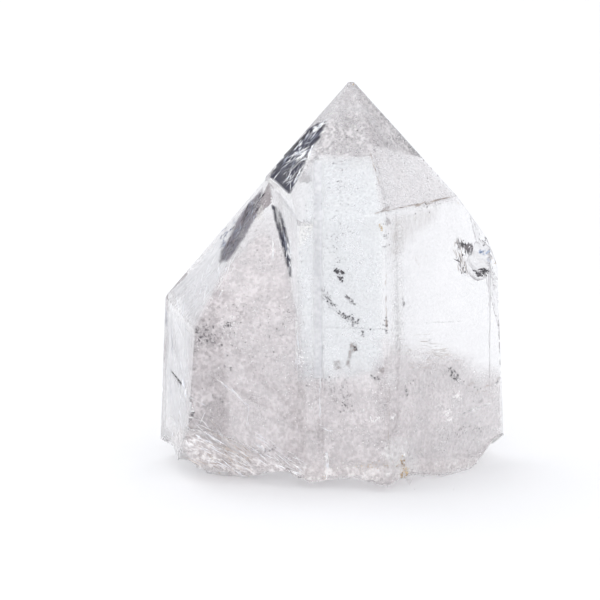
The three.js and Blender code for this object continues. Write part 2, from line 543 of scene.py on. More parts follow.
@dataclass
class CrystalSkin:
    """The visible surface: flat faces with growth marks, worn edges between them, and the rough breaks."""

    spacing: float = 0.42
    rim: float = 0.05
    break_edge: float = 0.4
    wear: float = 0.4
    rough_depth: float = 0.2
    rib_depth: float = 0.3
    nick: float = 0.07
    seen_from_front: float = -0.25

    def build(self, node: Piece, finish: Material) -> Piece:
        """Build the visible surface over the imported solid.

        Args:
            node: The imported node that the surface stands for.
            finish: The crystal's material.

        Returns:
            The finished piece.
        """
        faces = FaceMap(Solid.of(node))
        label = faces.sort()
        LOG.info("%d crystal faces, %d triangles on breaks", len(faces.facets), int((label < 0).sum()))
        bm, tag = self._divided(faces.solid, label)
        points, triangles, kinds = self._meshed(bm, tag, faces.facets)
        bm.free()
        points, normals = self._shaped(points, triangles, kinds, faces.facets)
        piece = add_piece("crystal", points, triangles, finish)
        self._dress(piece, kinds, normals)
        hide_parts(NODE)
        return piece

    def _divided(self, solid: Solid, label: Array) -> tuple[bmesh.types.BMesh, bmesh.types.BMLayerItem]:
        """Divide long edges round the faces and all over the breaks."""
        bm = bmesh.new()
        tag = bm.faces.layers.int.new("face")
        verts = [bm.verts.new(point) for point in solid.points]
        for triangle, kind in zip(solid.triangles, label):
            try:
                bm.faces.new([verts[int(i)] for i in triangle])[tag] = int(kind) + 1
            except ValueError:
                continue
        for _ in range(8):
            long = []
            for edge in bm.edges:
                kinds = [face[tag] for face in edge.link_faces]
                inner = len(kinds) == 2 and kinds[0] == kinds[1]
                if inner and kinds[0] > 0:
                    continue
                if edge.calc_length() > (self.break_edge if inner else self.spacing):
                    long.append(edge)
            if not long:
                break
            bmesh.ops.subdivide_edges(bm, edges=long, cuts=1)
            rough = [face for face in bm.faces if face[tag] == 0 and len(face.verts) > 3]
            bmesh.ops.triangulate(bm, faces=rough, quad_method="SHORT_EDGE")
        bm.verts.index_update()
        return bm, tag

    def _meshed(
        self, bm: bmesh.types.BMesh, tag: bmesh.types.BMLayerItem, facets: list[Facet]
    ) -> tuple[Array, Array, Array]:
        """Fill each crystal face with evenly spread points, keeping its border."""
        points = [tuple(vertex.co) for vertex in bm.verts]
        triangles, kinds = [], []
        for face in bm.faces:
            if face[tag] == 0:
                triangles.append([vertex.index for vertex in face.verts])
                kinds.append(-1)
        for k, facet in enumerate(facets):
            border = []
            for face in bm.faces:
                if face[tag] != k + 1:
                    continue
                for loop in face.loops:
                    other = [f for f in loop.edge.link_faces if f is not face]
                    if not other or other[0][tag] != k + 1:
                        soft = bool(other) and other[0][tag] > 0
                        border.append((loop.vert.index, loop.link_loop_next.vert.index, soft))
            if len(border) < 3:
                continue
            new, filled = self._filled(np.array(points), border, facet, len(points))
            points.extend(map(tuple, new))
            triangles.extend(filled)
            kinds.extend([k] * len(filled))
        return np.array(points), np.array(triangles), np.array(kinds)

    def _filled(self, points: Array, border: list, facet: Facet, start: int) -> tuple[Array, list]:
        """Triangulate one face with its border kept as it is."""
        across, up = facet.frame()
        flat = np.stack([points @ across, points @ up], -1)
        ends = np.array([(a, b) for a, b, _ in border])
        tail, head = flat[ends[:, 0]], flat[ends[:, 1]]
        along = unit(head - tail)
        inward = np.stack([-along[:, 1], along[:, 0]], -1)
        beside = ((tail + head) / 2 + inward * self.rim)[[soft for _, _, soft in border]]
        low, high = flat[ends].reshape(-1, 2).min(0), flat[ends].reshape(-1, 2).max(0)
        pitch = self.spacing
        rows = np.arange(low[1], high[1], pitch * 0.866)
        grid = np.array([
            (x + (pitch / 2 if i % 2 else 0.0), y)
            for i, y in enumerate(rows) for x in np.arange(low[0], high[0] + pitch, pitch)
        ]).reshape(-1, 2)
        if len(grid):
            shake = Grain(7).at(np.c_[grid * 3.1, np.zeros(len(grid))])
            turn = 2 * math.pi * Grain(8).at(np.c_[grid * 2.7, np.zeros(len(grid))])
            grid = grid + 0.16 * pitch * shake[:, None] * np.stack([np.cos(turn), np.sin(turn)], -1)
            room, within = self.room(grid, tail, head)
            grid = grid[within & (room > self.rim + 0.42 * pitch)]
        room, within = self.room(beside, tail, head)
        beside = beside[within & (room > 0.8 * self.rim)]
        extra = np.concatenate([beside, grid])
        used = np.unique(ends)
        local = {int(index): i for i, index in enumerate(used)}
        coordinates = [Vector(p) for p in flat[used]] + [Vector(p) for p in extra]
        edges = [(local[int(a)], local[int(b)]) for a, b in ends]
        result = delaunay_2d_cdt(coordinates, edges, [], 0, 1e-7, True)
        places, _, cells, sources = result[:4]
        number = [source[0] if source else None for source in sources]
        total = len(used)
        spot = np.array([tuple(p) for p in places])
        tri = np.array([cell for cell in cells if len(cell) == 3])
        _, within = self.room(spot[tri].mean(1), tail, head, only_within=True)
        fresh = extra[:, :1] * across + extra[:, 1:] * up
        fresh = fresh + facet.normal * facet.offset
        filled = []
        for cell in tri[within]:
            names = [number[int(i)] for i in cell]
            if any(name is None for name in names):
                continue
            filled.append([int(used[n]) if n < total else start + n - total for n in names])
        return fresh, filled

    @staticmethod
    def room(spots: Array, tail: Array, head: Array, only_within: bool = False) -> tuple[Array, Array]:
        """Distance of flat points to a border, and whether they lie within it."""
        room = np.full(len(spots), 1e9)
        crossings = np.zeros(len(spots), int)
        for a, b in zip(tail, head):
            side = b - a
            if not only_within:
                t = np.clip(((spots - a) @ side) / max(side @ side, 1e-12), 0.0, 1.0)
                room = np.minimum(room, np.linalg.norm(spots - a - t[:, None] * side, axis=1))
            spans = (a[1] > spots[:, 1]) != (b[1] > spots[:, 1])
            slope = side[0] / side[1] if side[1] else 0.0
            crossings += spans & (spots[:, 0] < a[0] + (spots[:, 1] - a[1]) * slope)
        return room, crossings % 2 == 1

    def _shaped(
        self, points: Array, triangles: Array, kinds: Array, facets: list[Facet]
    ) -> tuple[Array, Array]:
        """Sink growth marks, wear and roughness into the surface, and find its shading normals."""
        count = len(points)
        member = [np.zeros(count, bool) for _ in facets]
        for k in range(len(facets)):
            member[k][np.unique(triangles[kinds == k])] = True
        on_break = np.zeros(count, bool)
        on_break[np.unique(triangles[kinds < 0])] = True
        faces_met = np.sum(member, axis=0)
        sink = self._marked(points, member, faces_met, facets)
        edge = np.where((faces_met > 1) & ~on_break)[0]
        joint = np.zeros((count, 3))
        for k, facet in enumerate(facets):
            joint[member[k]] += facet.normal
        joint = unit(joint)
        openness = np.ones(count)
        for k, facet in enumerate(facets):
            openness = np.where(member[k], np.minimum(openness, joint @ facet.normal), openness)
        spread = np.sqrt(np.maximum(0.0, 1.0 - openness**2))
        worn = 0.5 + 0.6 * Grain(41).cloud(points[edge] / 2.2, 2)
        nicks = ease(Grain(43).cloud(points[edge] / 0.9, 2), 0.62, 0.8)
        nicks = nicks * ease(Grain(44).at(points[edge] / 4.0), 0.4, 0.7)
        depth = self.rim * spread[edge] * self.wear * worn + self.nick * nicks
        sink[edge] -= depth[:, None] * joint[edge]
        solid = Solid(points, triangles)
        face_normals, areas = solid.normals()
        out = np.zeros((count, 3))
        for corner in range(3):
            np.add.at(out, triangles[kinds < 0][:, corner], (face_normals * areas[:, None])[kinds < 0])
        out = unit(out)
        rough = np.where(on_break & (faces_met == 0))[0]
        sink[rough] -= self._roughness(points[rough])[:, None] * out[rough]
        points = points + sink
        points[:, 2] = np.maximum(points[:, 2], 0.0)
        return points, self._normals(points, triangles, kinds, len(facets), faces_met)

    @staticmethod
    def _marked(points: Array, member: list[Array], faces_met: Array, facets: list[Facet]) -> Array:
        """How growth marks move each point, so that edges stay where the marked faces meet."""
        sink = np.zeros((len(points), 3))
        depths = np.zeros((len(points), len(facets)))
        for k, facet in enumerate(facets):
            own = np.where(member[k])[0]
            depths[own, k] = Relief(facet, k).depth(points[own])
            alone = own[faces_met[own] == 1]
            sink[alone] = -depths[alone, k][:, None] * facet.normal
        for i in np.where(faces_met > 1)[0]:
            met = [k for k in range(len(facets)) if member[k][i]]
            normals = np.array([facets[k].normal for k in met])
            blend = np.linalg.solve(normals @ normals.T + 0.02 * np.eye(len(met)), depths[i, met])
            sink[i] = -blend @ normals
        return sink

    def _roughness(self, points: Array) -> Array:
        """How far a break's surface is sunk: small steps and splinters, a little finer than the hollows."""
        plates = 6.0 * Grain(51).cloud(points / np.array([2.6, 2.2, 1.9]), 2)
        steps = np.floor(plates) + ease(plates - np.floor(plates), 0.3, 0.55)
        splinters = np.abs(Grain(52).cloud(points / np.array([0.9, 0.9, 0.8]), 3) - 0.5)
        floor = ease(points[:, 2], 0.0, 0.3)
        across = points @ RIB_ACROSS
        along = points @ np.cross(RIB_ACROSS, [0.0, 1.0, 0.0])
        cells = np.stack([across / 1.3, along / 7.0, points[:, 1] / 5.0], -1)
        ribs = 1.0 - np.abs(2.0 * Grain(53).cloud(cells, 2) - 1.0)
        share = 0.35 + 0.65 * (1.0 - ease(points[:, 0], -6.0, 2.0))
        sunk = self.rough_depth * (0.22 * steps + 0.9 * splinters) + self.rib_depth * ribs * share
        return sunk * (0.2 + 0.8 * floor)

    def _normals(self, points: Array, triangles: Array, kinds: Array, facets: int, met: Array) -> Array:
        """Shading normals for each triangle corner: round over worn edges, sharp beside breaks."""
        flat, areas = Solid(points, triangles).normals()
        weighted = flat * areas[:, None]
        corner_normals = np.zeros((len(triangles), 3, 3))
        whole = np.zeros((len(points), 3))
        for k in range(-1, facets):
            chosen = kinds == k
            total = np.zeros((len(points), 3))
            for corner in range(3):
                np.add.at(total, triangles[chosen][:, corner], weighted[chosen])
            total = unit(total)
            if k >= 0:
                whole += total
            corner_normals[chosen] = total[triangles[chosen]]
        whole = unit(whole)
        worn = (met > 1) & (whole[:, 1] < self.seen_from_front)
        shared = worn[triangles] & (kinds >= 0)[:, None]
        corner_normals[shared] = whole[triangles][shared]
        return corner_normals

    @staticmethod
    def _dress(piece: Piece, kinds: Array, normals: Array) -> None:
        """Set smooth shading, the shading normals and the mask of the breaks."""
        mesh = piece.data
        mesh.polygons.foreach_set("use_smooth", np.ones(len(mesh.polygons), bool))
        mesh.normals_split_custom_set([tuple(n) for n in normals.reshape(-1, 3)])
        mask = mesh.attributes.new("broken", "FLOAT", "CORNER")
        mask.data.foreach_set("value", np.repeat((kinds < 0).astype(np.float32), 3))
        mesh.update()


# Finishes.


class Graph:
    """Short ways to build a material's nodes."""

    def __init__(self, tree: Nodes) -> None:
        """Keep the node tree."""
        self.tree = tree

    def add(self, kind: str, **settings: object) -> Node:
        """Add a node and set its properties.

        Args:
            kind: The node's type.
            **settings: Properties of the node.

        Returns:
            The node.
        """
        node = self.tree.nodes.new(kind)
        for name, value in settings.items():
            setattr(node, name, value)
        return node

    def join(self, source: Socket, target: Socket) -> None:
        """Link two sockets."""
        self.tree.links.new(source, target)

    def feed(self, node: Node, **inputs: object) -> Node:
        """Set or link a node's inputs by name, with spaces written as underscores.

        Args:
            node: The node to feed.
            **inputs: Values or sockets.

        Returns:
            The node.
        """
        for name, value in inputs.items():
            socket = node.inputs[name.replace("_", " ")]
            if isinstance(value, Socket):
                self.join(value, socket)
            else:
                socket.default_value = value
        return node

    def math(self, operation: str, a: object, b: object = 0.0, clamp: bool = False) -> Socket:
        """Add a sum, product or other operation on two values."""
        node = self.add("ShaderNodeMath", operation=operation, use_clamp=clamp)
        for socket, value in zip(node.inputs, (a, b)):
            if isinstance(value, Socket):
                self.join(value, socket)
            else:
                socket.default_value = value
        return node.outputs[0]

    def ramp(self, value: Socket, low: float, high: float) -> Socket:
        """Map a value from low..high to 0..1, eased and held at the ends."""
        node = self.add("ShaderNodeMapRange", interpolation_type="SMOOTHSTEP")
        return self.feed(node, Value=value, From_Min=low, From_Max=high).outputs[0]

    def tint(self, share: Socket, dark: Colour, light: Colour) -> Socket:
        """Mix two colours.

        Args:
            share: Value from 0 to 1.
            dark: Colour at 0.
            light: Colour at 1.

        Returns:
            The mixed colour.
        """
        node = self.add("ShaderNodeMix", data_type="RGBA")
        self.join(share, node.inputs["Factor"])
        node.inputs["A"].default_value = (*dark, 1.0)
        node.inputs["B"].default_value = (*light, 1.0)
        return node.outputs["Result"]

    def bump(self, height: Socket, strength: float, distance: float) -> Socket:
        """Bumps of a height map, with the distance in metres."""
        node = self.add("ShaderNodeBump")
        return self.feed(node, Height=height, Strength=strength, Distance=distance).outputs[0]

    def effect(self, tree: Nodes, **inputs: object) -> Node:
        """Use a shared effect group."""
        return self.feed(self.add("ShaderNodeGroup", node_tree=tree), **inputs)

    def place(self) -> Socket:
        """Where a point is on the object, in metres."""
        return self.add("ShaderNodeTexCoord").outputs["Object"]

    def noise(self, scale: float, detail: float = 3.0, stretch: tuple = (1.0, 1.0, 1.0)) -> Socket:
        """Noise over the object, in cells per metre."""
        group = self.effect(Effects.grain(), Place=self.place(), Stretch=stretch, Scale=scale, Detail=detail)
        return group.outputs["Value"]


class Effects:
    """Node groups that more than one material uses."""

    @staticmethod
    def _start(name: str, inputs: dict[str, str], outputs: dict[str, str]) -> tuple[Nodes, Graph]:
        """Start a group with named sockets."""
        tree = bpy.data.node_groups.new(name, "ShaderNodeTree")
        for direction, sockets in (("INPUT", inputs), ("OUTPUT", outputs)):
            for socket, kind in sockets.items():
                tree.interface.new_socket(socket, in_out=direction, socket_type="NodeSocket" + kind)
        return tree, Graph(tree)

    @classmethod
    def grain(cls) -> Nodes:
        """Stretched noise."""
        made = bpy.data.node_groups.get("grain")
        if made:
            return made
        inputs = {"Place": "Vector", "Stretch": "Vector", "Scale": "Float", "Detail": "Float"}
        tree, graph = cls._start("grain", inputs, {"Value": "Float"})
        given, put_out = graph.add("NodeGroupInput"), graph.add("NodeGroupOutput")
        stretched = graph.add("ShaderNodeVectorMath", operation="MULTIPLY")
        graph.join(given.outputs["Place"], stretched.inputs[0])
        graph.join(given.outputs["Stretch"], stretched.inputs[1])
        noise = graph.add("ShaderNodeTexNoise")
        graph.feed(noise, Vector=stretched.outputs[0])
        graph.feed(noise, Scale=given.outputs["Scale"], Detail=given.outputs["Detail"])
        graph.join(noise.outputs["Fac"], put_out.inputs["Value"])
        return tree

    @classmethod
    def speckle(cls) -> Nodes:
        """Cover of tiny things, patchy from afar and speckled close up, and the shade of each."""
        made = bpy.data.node_groups.get("speckle")
        if made:
            return made
        inputs = {"Patches": "Float", "Specks": "Float", "Patch Low": "Float", "Patch High": "Float"}
        inputs |= {"Patch Share": "Float", "Speck Share": "Float"}
        tree, graph = cls._start("speckle", inputs, {"Cover": "Float", "Shade": "Float"})
        given, put_out = graph.add("NodeGroupInput"), graph.add("NodeGroupOutput")
        low, high = given.outputs["Patch Low"], given.outputs["Patch High"]
        patches = graph.ramp(given.outputs["Patches"], low, high)
        specks = graph.ramp(given.outputs["Specks"], 0.36, 0.64)
        parts = []
        for mask, share in ((patches, given.outputs["Patch Share"]), (specks, given.outputs["Speck Share"])):
            missing = graph.math("MULTIPLY", graph.math("SUBTRACT", 1.0, mask), share)
            parts.append(graph.math("SUBTRACT", 1.0, missing))
        graph.join(graph.math("MULTIPLY", *parts), put_out.inputs["Cover"])
        coarse = graph.math("MULTIPLY", given.outputs["Patches"], 0.45)
        both = graph.math("ADD", coarse, graph.math("MULTIPLY", given.outputs["Specks"], 0.55))
        graph.join(graph.ramp(both, 0.34, 0.66), put_out.inputs["Shade"])
        return tree


def new_material(name: str) -> tuple[Material, Graph, Node, Node]:
    """Start a material.

    Args:
        name: The material's name.

    Returns:
        The material, its graph, its Principled node and its output node.
    """
    material = bpy.data.materials.new(name)
    material.use_nodes = True
    graph = Graph(material.node_tree)
    nodes = material.node_tree.nodes
    return material, graph, nodes["Principled BSDF"], nodes["Material Output"]


@dataclass(frozen=True)
class QuartzFinish:
    """Clear quartz: bright faces with fine growth marks, matt where broken."""

    absorption: float = 3.4
    face_roughness: float = 0.015
    break_roughness: float = 0.42
    shadow_passed: float = 0.95

    def build(self) -> Material:
        """Make the material."""
        material, graph, shader, output = new_material("quartz")
        broken = graph.add("ShaderNodeAttribute", attribute_name="broken").outputs["Fac"]
        fine = graph.noise(2600.0, 4.0)
        specks = graph.ramp(graph.noise(1900.0, 2.0), 0.58, 0.72)
        lines = graph.noise(900.0, 3.0, (0.18, 0.18, 1.6))
        rough = graph.noise(1500.0, 5.0)
        face = graph.math("ADD", self.face_roughness, graph.math("MULTIPLY", specks, 0.08))
        matt = graph.math("MULTIPLY", broken, self.break_roughness)
        graph.feed(shader, Roughness=graph.math("ADD", face, matt))
        smooth = graph.math("ADD", graph.math("MULTIPLY", fine, 0.35), graph.math("MULTIPLY", lines, 0.65))
        grit = graph.math("MULTIPLY", graph.math("MULTIPLY", rough, broken), 9.0)
        bump = graph.bump(graph.math("ADD", smooth, grit), 1.0, 0.000012)
        graph.feed(shader, Normal=bump, IOR=QUARTZ_IOR, Transmission_Weight=1.0)
        shader.inputs["Base Color"].default_value = (1.0, 1.0, 1.0, 1.0)
        depth = graph.add("ShaderNodeVolumeAbsorption")
        depth.inputs["Color"].default_value = (0.42, 0.36, 0.4, 1.0)
        depth.inputs["Density"].default_value = self.absorption
        graph.join(depth.outputs[0], output.inputs["Volume"])
        clear = graph.add("ShaderNodeBsdfTransparent")
        mix = graph.add("ShaderNodeMixShader")
        shadow = graph.add("ShaderNodeLightPath").outputs["Is Shadow Ray"]
        graph.join(graph.math("MULTIPLY", shadow, self.shadow_passed), mix.inputs["Fac"])
        graph.join(shader.outputs[0], mix.inputs[1])
        graph.join(clear.outputs[0], mix.inputs[2])
        graph.join(mix.outputs[0], output.inputs["Surface"])
        return material


@dataclass(frozen=True)
class SheetFinish:
    """A thin layer of tiny bubbles, flakes or film inside the quartz, or painted light and shade on a face,
    seen through where it is sparse.
    """

    name: str
    dark: Colour
    light: Colour
    cover: float
    patch: float = 260.0
    patch_low: float = 0.3
    patch_high: float = 0.6
    patch_share: float = 0.45
    speck: float = 2300.0
    speck_share: float = 0.6
    streak: bool = False
    # Emission strength: painted light, given off by a layer that is no lamp.
    painted_glow: float = 0.0

    def build(self) -> Material:
        """Make the material."""
        material, graph, shader, _ = new_material(self.name)
        fade = graph.add("ShaderNodeAttribute", attribute_name="fade").outputs["Fac"]
        place, wide, fine = graph.place(), (1.0, 1.0, 1.0), (1.0, 1.0, 1.0)
        if self.streak:
            place = graph.add("ShaderNodeAttribute", attribute_name="flow").outputs["Vector"]
            wide, fine = (0.12, 1.0, 1.0), (0.2, 1.0, 1.0)
        grain = Effects.grain()
        patches = graph.effect(grain, Place=place, Stretch=wide, Scale=self.patch, Detail=5.0).outputs[0]
        specks = graph.effect(grain, Place=place, Stretch=fine, Scale=self.speck, Detail=4.0).outputs[0]
        mix = graph.effect(Effects.speckle(), Patches=patches, Specks=specks)
        graph.feed(mix, Patch_Low=self.patch_low, Patch_High=self.patch_high)
        graph.feed(mix, Patch_Share=self.patch_share, Speck_Share=self.speck_share)
        alpha = graph.math("MULTIPLY", mix.outputs["Cover"], self.cover)
        graph.feed(shader, Alpha=graph.math("MULTIPLY", alpha, fade, clamp=True), Roughness=0.6)
        colour = graph.tint(mix.outputs["Shade"], self.dark, self.light)
        graph.feed(shader, Base_Color=colour, Specular_IOR_Level=0.1)
        # Painted light: the layer gives off light in its own colour.
        if self.painted_glow:
            graph.feed(shader, Emission_Color=colour, Emission_Strength=self.painted_glow)
        return material


@dataclass(frozen=True)
class FlakeFinish:
    """Solid little flakes, grains and glints, each a shade of its own; some give off painted light, the
    glints among them.
    """

    name: str
    dark: Colour
    light: Colour
    roughness: float = 0.4
    # Emission strength: painted light, given off by flakes that are no lamps.
    painted_glow: float = 0.0

    def build(self) -> Material:
        """Make the material."""
        material, graph, shader, _ = new_material(self.name)
        colour = graph.tint(graph.ramp(graph.noise(700.0, 3.0), 0.4, 0.62), self.dark, self.light)
        rough = graph.math("ADD", self.roughness, graph.math("MULTIPLY", graph.noise(2600.0), 0.2))
        bump = graph.bump(graph.noise(3000.0), 0.4, 0.00003)
        graph.feed(shader, Base_Color=colour, Roughness=rough, Normal=bump)
        # Painted light: the flakes give off light in their own colour.
        if self.painted_glow:
            graph.feed(shader, Emission_Color=colour, Emission_Strength=self.painted_glow)
        return material


# Inside the crystal, and painted light and shade on its faces.


@dataclass(frozen=True)
class Sheet:
    """A thin sheet behind part of the picture: a healed crack, a cloud layer or a film, or painted light and
    shade, such as a highlight or a dark refraction.
    """

    name: str
    outline: tuple[Spot, ...]
    depth: float
    step: float = 4.0
    soft: float = 5.0
    flow: Spot = (0.0, 1.0)

    def build(self, sight: Sight, finish: Material) -> Piece:
        """Lay the sheet.

        Args:
            sight: Finds points inside the crystal.
            finish: The sheet's material.

        Returns:
            The new piece.
        """
        border = self._border()
        tail, head = border, np.roll(border, -1, axis=0)
        low, high = border.min(0), border.max(0)
        across, down = np.meshgrid(*(np.arange(low[i], high[i], self.step) for i in range(2)))
        grid = np.stack([across.ravel(), down.ravel()], -1)
        room, within = CrystalSkin.room(grid, tail, head)
        spots = np.concatenate([border, grid[within & (room > 0.5 * self.step)]])
        count = len(border)
        edges = [(i, (i + 1) % count) for i in range(count)]
        result = delaunay_2d_cdt([Vector(spot) for spot in spots], edges, [], 0, 1e-6, True)
        flat = np.array([tuple(p) for p in result[0]])
        cells = np.array([cell for cell in result[2] if len(cell) == 3])
        _, within = CrystalSkin.room(flat[cells].mean(1), tail, head, only_within=True)
        cells = cells[within]
        room, _ = CrystalSkin.room(flat, tail, head)
        return self._laid(sight, finish, flat, cells, room)

    def _border(self) -> Array:
        """The outline with points every step."""
        points = []
        for start, end in zip(self.outline, self.outline[1:] + self.outline[:1]):
            a, b = np.array(start), np.array(end)
            count = max(1, round(float(np.linalg.norm(b - a)) / self.step))
            points += [a + (b - a) * i / count for i in range(count)]
        return np.array(points)

    def _laid(self, sight: Sight, finish: Material, flat: Array, cells: Array, room: Array) -> Piece:
        """Set the flat pattern behind the crystal's surface."""
        seed = sum(map(ord, self.name))
        points = np.zeros((len(flat), 3))
        found = np.zeros(len(flat), bool)
        for i, (across, down) in enumerate(flat):
            place = sight.inside(across, down, self.depth)
            if place is not None:
                points[i], found[i] = place, True
        cells = cells[found[cells].all(1)]
        sides = np.linalg.norm(points[cells] - points[np.roll(cells, 1, axis=1)], axis=-1).max(1)
        cells = cells[sides < max(FOLD_STEPS * self.step / PIXELS_A_MM, FOLD_LEAST)]
        used, number = np.unique(cells, return_inverse=True)
        piece = add_piece(self.name, points[used], number.reshape(-1, 3), finish)
        torn = 1.1 * self.soft * (Grain(seed + 1).cloud(on_plane(*flat[used].T, 9.0, 9.0), 3) - 0.5)
        carry(piece, "fade", "FLOAT", ease(room[used] + torn, 0.0, self.soft))
        along = unit(np.array(self.flow))
        turned = np.array([-along[1], along[0]])
        scaled = flat[used] / PIXELS_A_MM * MM
        flow = np.stack([scaled @ along, scaled @ turned, np.full(len(used), seed * 0.01)], -1)
        carry(piece, "flow", "FLOAT_VECTOR", flow)
        return piece


@dataclass(frozen=True)
class Veil:
    """A gently curved veil right through the crystal, thick where the crystal is cloudy."""

    name: str
    place: float
    turn: float
    lean: float
    upper: bool = False
    pitch: float = 1.1
    wave: float = 1.3
    reach: float = 64.0
    middle: float = 30.0

    def build(self, sight: Sight, finish: Material) -> Piece:
        """Lay the veil.

        Args:
            sight: Knows the crystal's surface.
            finish: The veil's material.

        Returns:
            The new piece.
        """
        lean = Matrix.Rotation(math.radians(self.lean), 3, "X")
        turn = Matrix.Rotation(math.radians(self.turn), 3, "Z") @ lean
        across, facing, up = (np.array(turn.col[i]) for i in range(3))
        count = int(self.reach / self.pitch)
        steps = (np.arange(count) - count / 2) * self.pitch
        u, v = np.meshgrid(steps, steps)
        seed = sum(map(ord, self.name))
        waver = Grain(seed).cloud(on_plane(u, v, 17.0, 17.0), 2) - 0.5
        middle = np.array([0.0, self.place, self.middle])
        points = middle + u[..., None] * across + v[..., None] * up
        points = (points + (self.wave * 2 * waver)[..., None] * facing).reshape(-1, 3)
        within = np.zeros(len(points), bool)
        fitted = points.copy()
        for i, point in enumerate(points):
            depth, nearest = sight.fitted(point)
            within[i] = depth > SKIN
            if not within[i]:
                fitted[i] = nearest
        cells = np.array([
            (j * count + i, j * count + i + 1, (j + 1) * count + i + 1, (j + 1) * count + i)
            for j in range(count - 1) for i in range(count - 1)
        ])
        cells = cells[within[cells].any(1)]
        sides = np.linalg.norm(fitted[cells] - fitted[np.roll(cells, 1, axis=1)], axis=-1).max(1)
        cells = cells[sides < 2.6 * self.pitch]
        thick = cloudiness(fitted, self.upper)
        cells = cells[(thick[cells] > 0.01).any(1)]
        used, number = np.unique(cells, return_inverse=True)
        fitted[:, 2] = np.maximum(fitted[:, 2], SKIN)
        piece = add_piece(self.name, fitted[used], number.reshape(-1, 4), finish)
        carry(piece, "fade", "FLOAT", thick[used])
        return piece


# How high the grey cloud reaches, as (across, height) in millimetres.
CLOUD_TOP = ((-20, 60), (-6.5, 60), (-4, 26), (-1.5, 17), (7.5, 16), (8.5, 19.5), (18, 19), (22, 15),
             (26, 12.5))


def cloudiness(points: Array, upper: bool) -> Array:
    """How cloudy the crystal is.

    Args:
        points: Rows of points, in millimetres.
        upper: Whether the bluish haze of the upper part is meant, rather than the grey of the lower part.

    Returns:
        From 0, clear, to about 1.
    """
    x, y = points[:, 0], points[:, 1]
    height = points[:, 2] + SIGHT_DROP * (y - SIGHT_START)
    ragged = 2.4 * (Grain(61).cloud(points / 4.0, 3) - 0.5)
    if upper:
        centre = ease(x, -6.0, -4.5) * (1.0 - ease(x, 7.0, 8.5)) * ease(height, 14.0, 20.0)
        tip = 0.55 * ease(x, 7.0, 8.5) * ease(height, 39.5, 41.0)
        side = 0.9 * (1.0 - ease(x, -22.5, -20.5)) * (1.0 - ease(height, 26.0, 30.0))
        right = 0.65 * ease(x, 7.0, 8.5)
        return np.maximum.reduce([centre, tip, side, right])
    top = np.interp(x, *np.array(CLOUD_TOP).T)
    low = 1.0 - ease(height + ragged, top - 1.6, top + 1.6)
    short_side = ease(x, -23.0, -20.5)
    apex = 0.75 * ease(height, 46.5, 47.5) * ease(x, -1.0, 0.5) * (1.0 - ease(x, 6.0, 7.5))
    return np.maximum(low * short_side, apex)


def along_path(path: tuple[Spot, ...], count: int, spread: float, rng: np.random.Generator) -> Array:
    """Scatter places in the picture along a path.

    Args:
        path: Corners of the path.
        count: Number of places.
        spread: How far they stray from it, in pixels.
        rng: Draws the random numbers.

    Returns:
        Rows of pixels across and down.
    """
    corners = np.array(path, float)
    ends = np.concatenate([[0.0], np.cumsum(np.linalg.norm(np.diff(corners, axis=0), axis=1))])
    at = rng.uniform(0.0, max(ends[-1], 1e-6), count)
    spots = np.stack([np.interp(at, ends, corners[:, i]) for i in range(2)], -1)
    return spots + rng.normal(0.0, spread, (count, 2))


def closed_up(shapes: Array, ring: int) -> list[tuple[int, int, int]]:
    """Triangles of closed shapes, each a ring of points and then its two ends."""
    faces = []
    for number in range(len(shapes) // (ring + 2)):
        start = number * (ring + 2)
        for i in range(ring):
            j = (i + 1) % ring
            faces.append((start + i, start + j, start + ring))
            faces.append((start + j, start + i, start + ring + 1))
    return faces


@dataclass(frozen=True)
class Streaks:
    """Slivers laid along a direction of the picture: ribs, scratches and thin healed cracks."""

    path: tuple[Spot, ...]
    count: int
    along: Spot
    length: tuple[float, float]
    width: tuple[float, float] = (0.05, 0.2)
    spread: float = 0.4
    depth: float = 0.3
    sway: float = 0.1

    def shapes(self, sight: Sight, rng: np.random.Generator) -> tuple[list, list]:
        """Make the slivers' points and faces.

        Args:
            sight: Finds points inside the crystal.
            rng: Draws the random numbers.

        Returns:
            Points in millimetres, and triangles.
        """
        heading = math.atan2(self.along[1], self.along[0])
        points = []
        for spot in along_path(self.path, self.count, self.spread, rng):
            angle = heading + rng.normal(0.0, self.sway)
            half = rng.uniform(*self.length) / 2
            width = rng.uniform(0.0, 1.0) ** 1.6 * (self.width[1] - self.width[0]) + self.width[0]
            bow = rng.normal(0.0, 0.35)
            reach = half * np.array([math.cos(angle), math.sin(angle)])
            ends = [sight.inside(*(spot + way * reach), self.depth) for way in (-1.0, 1.0)]
            if ends[0] is None or ends[1] is None:
                continue
            tail, head = np.array(ends[0]), np.array(ends[1])
            if np.linalg.norm(head - tail) > 1.9 * half * 2 / PIXELS_A_MM:
                continue
            side = unit(np.cross(head - tail, [0.0, 1.0, 0.0]))
            out = unit(np.cross(head - tail, side))
            middle = (tail + head) / 2 + side * bow * width
            ring = [middle + side * width / 2, middle + out * width / 5, middle - side * width / 2]
            points += [*ring, middle - out * width / 5, head, tail]
        return points, closed_up(points, 4)


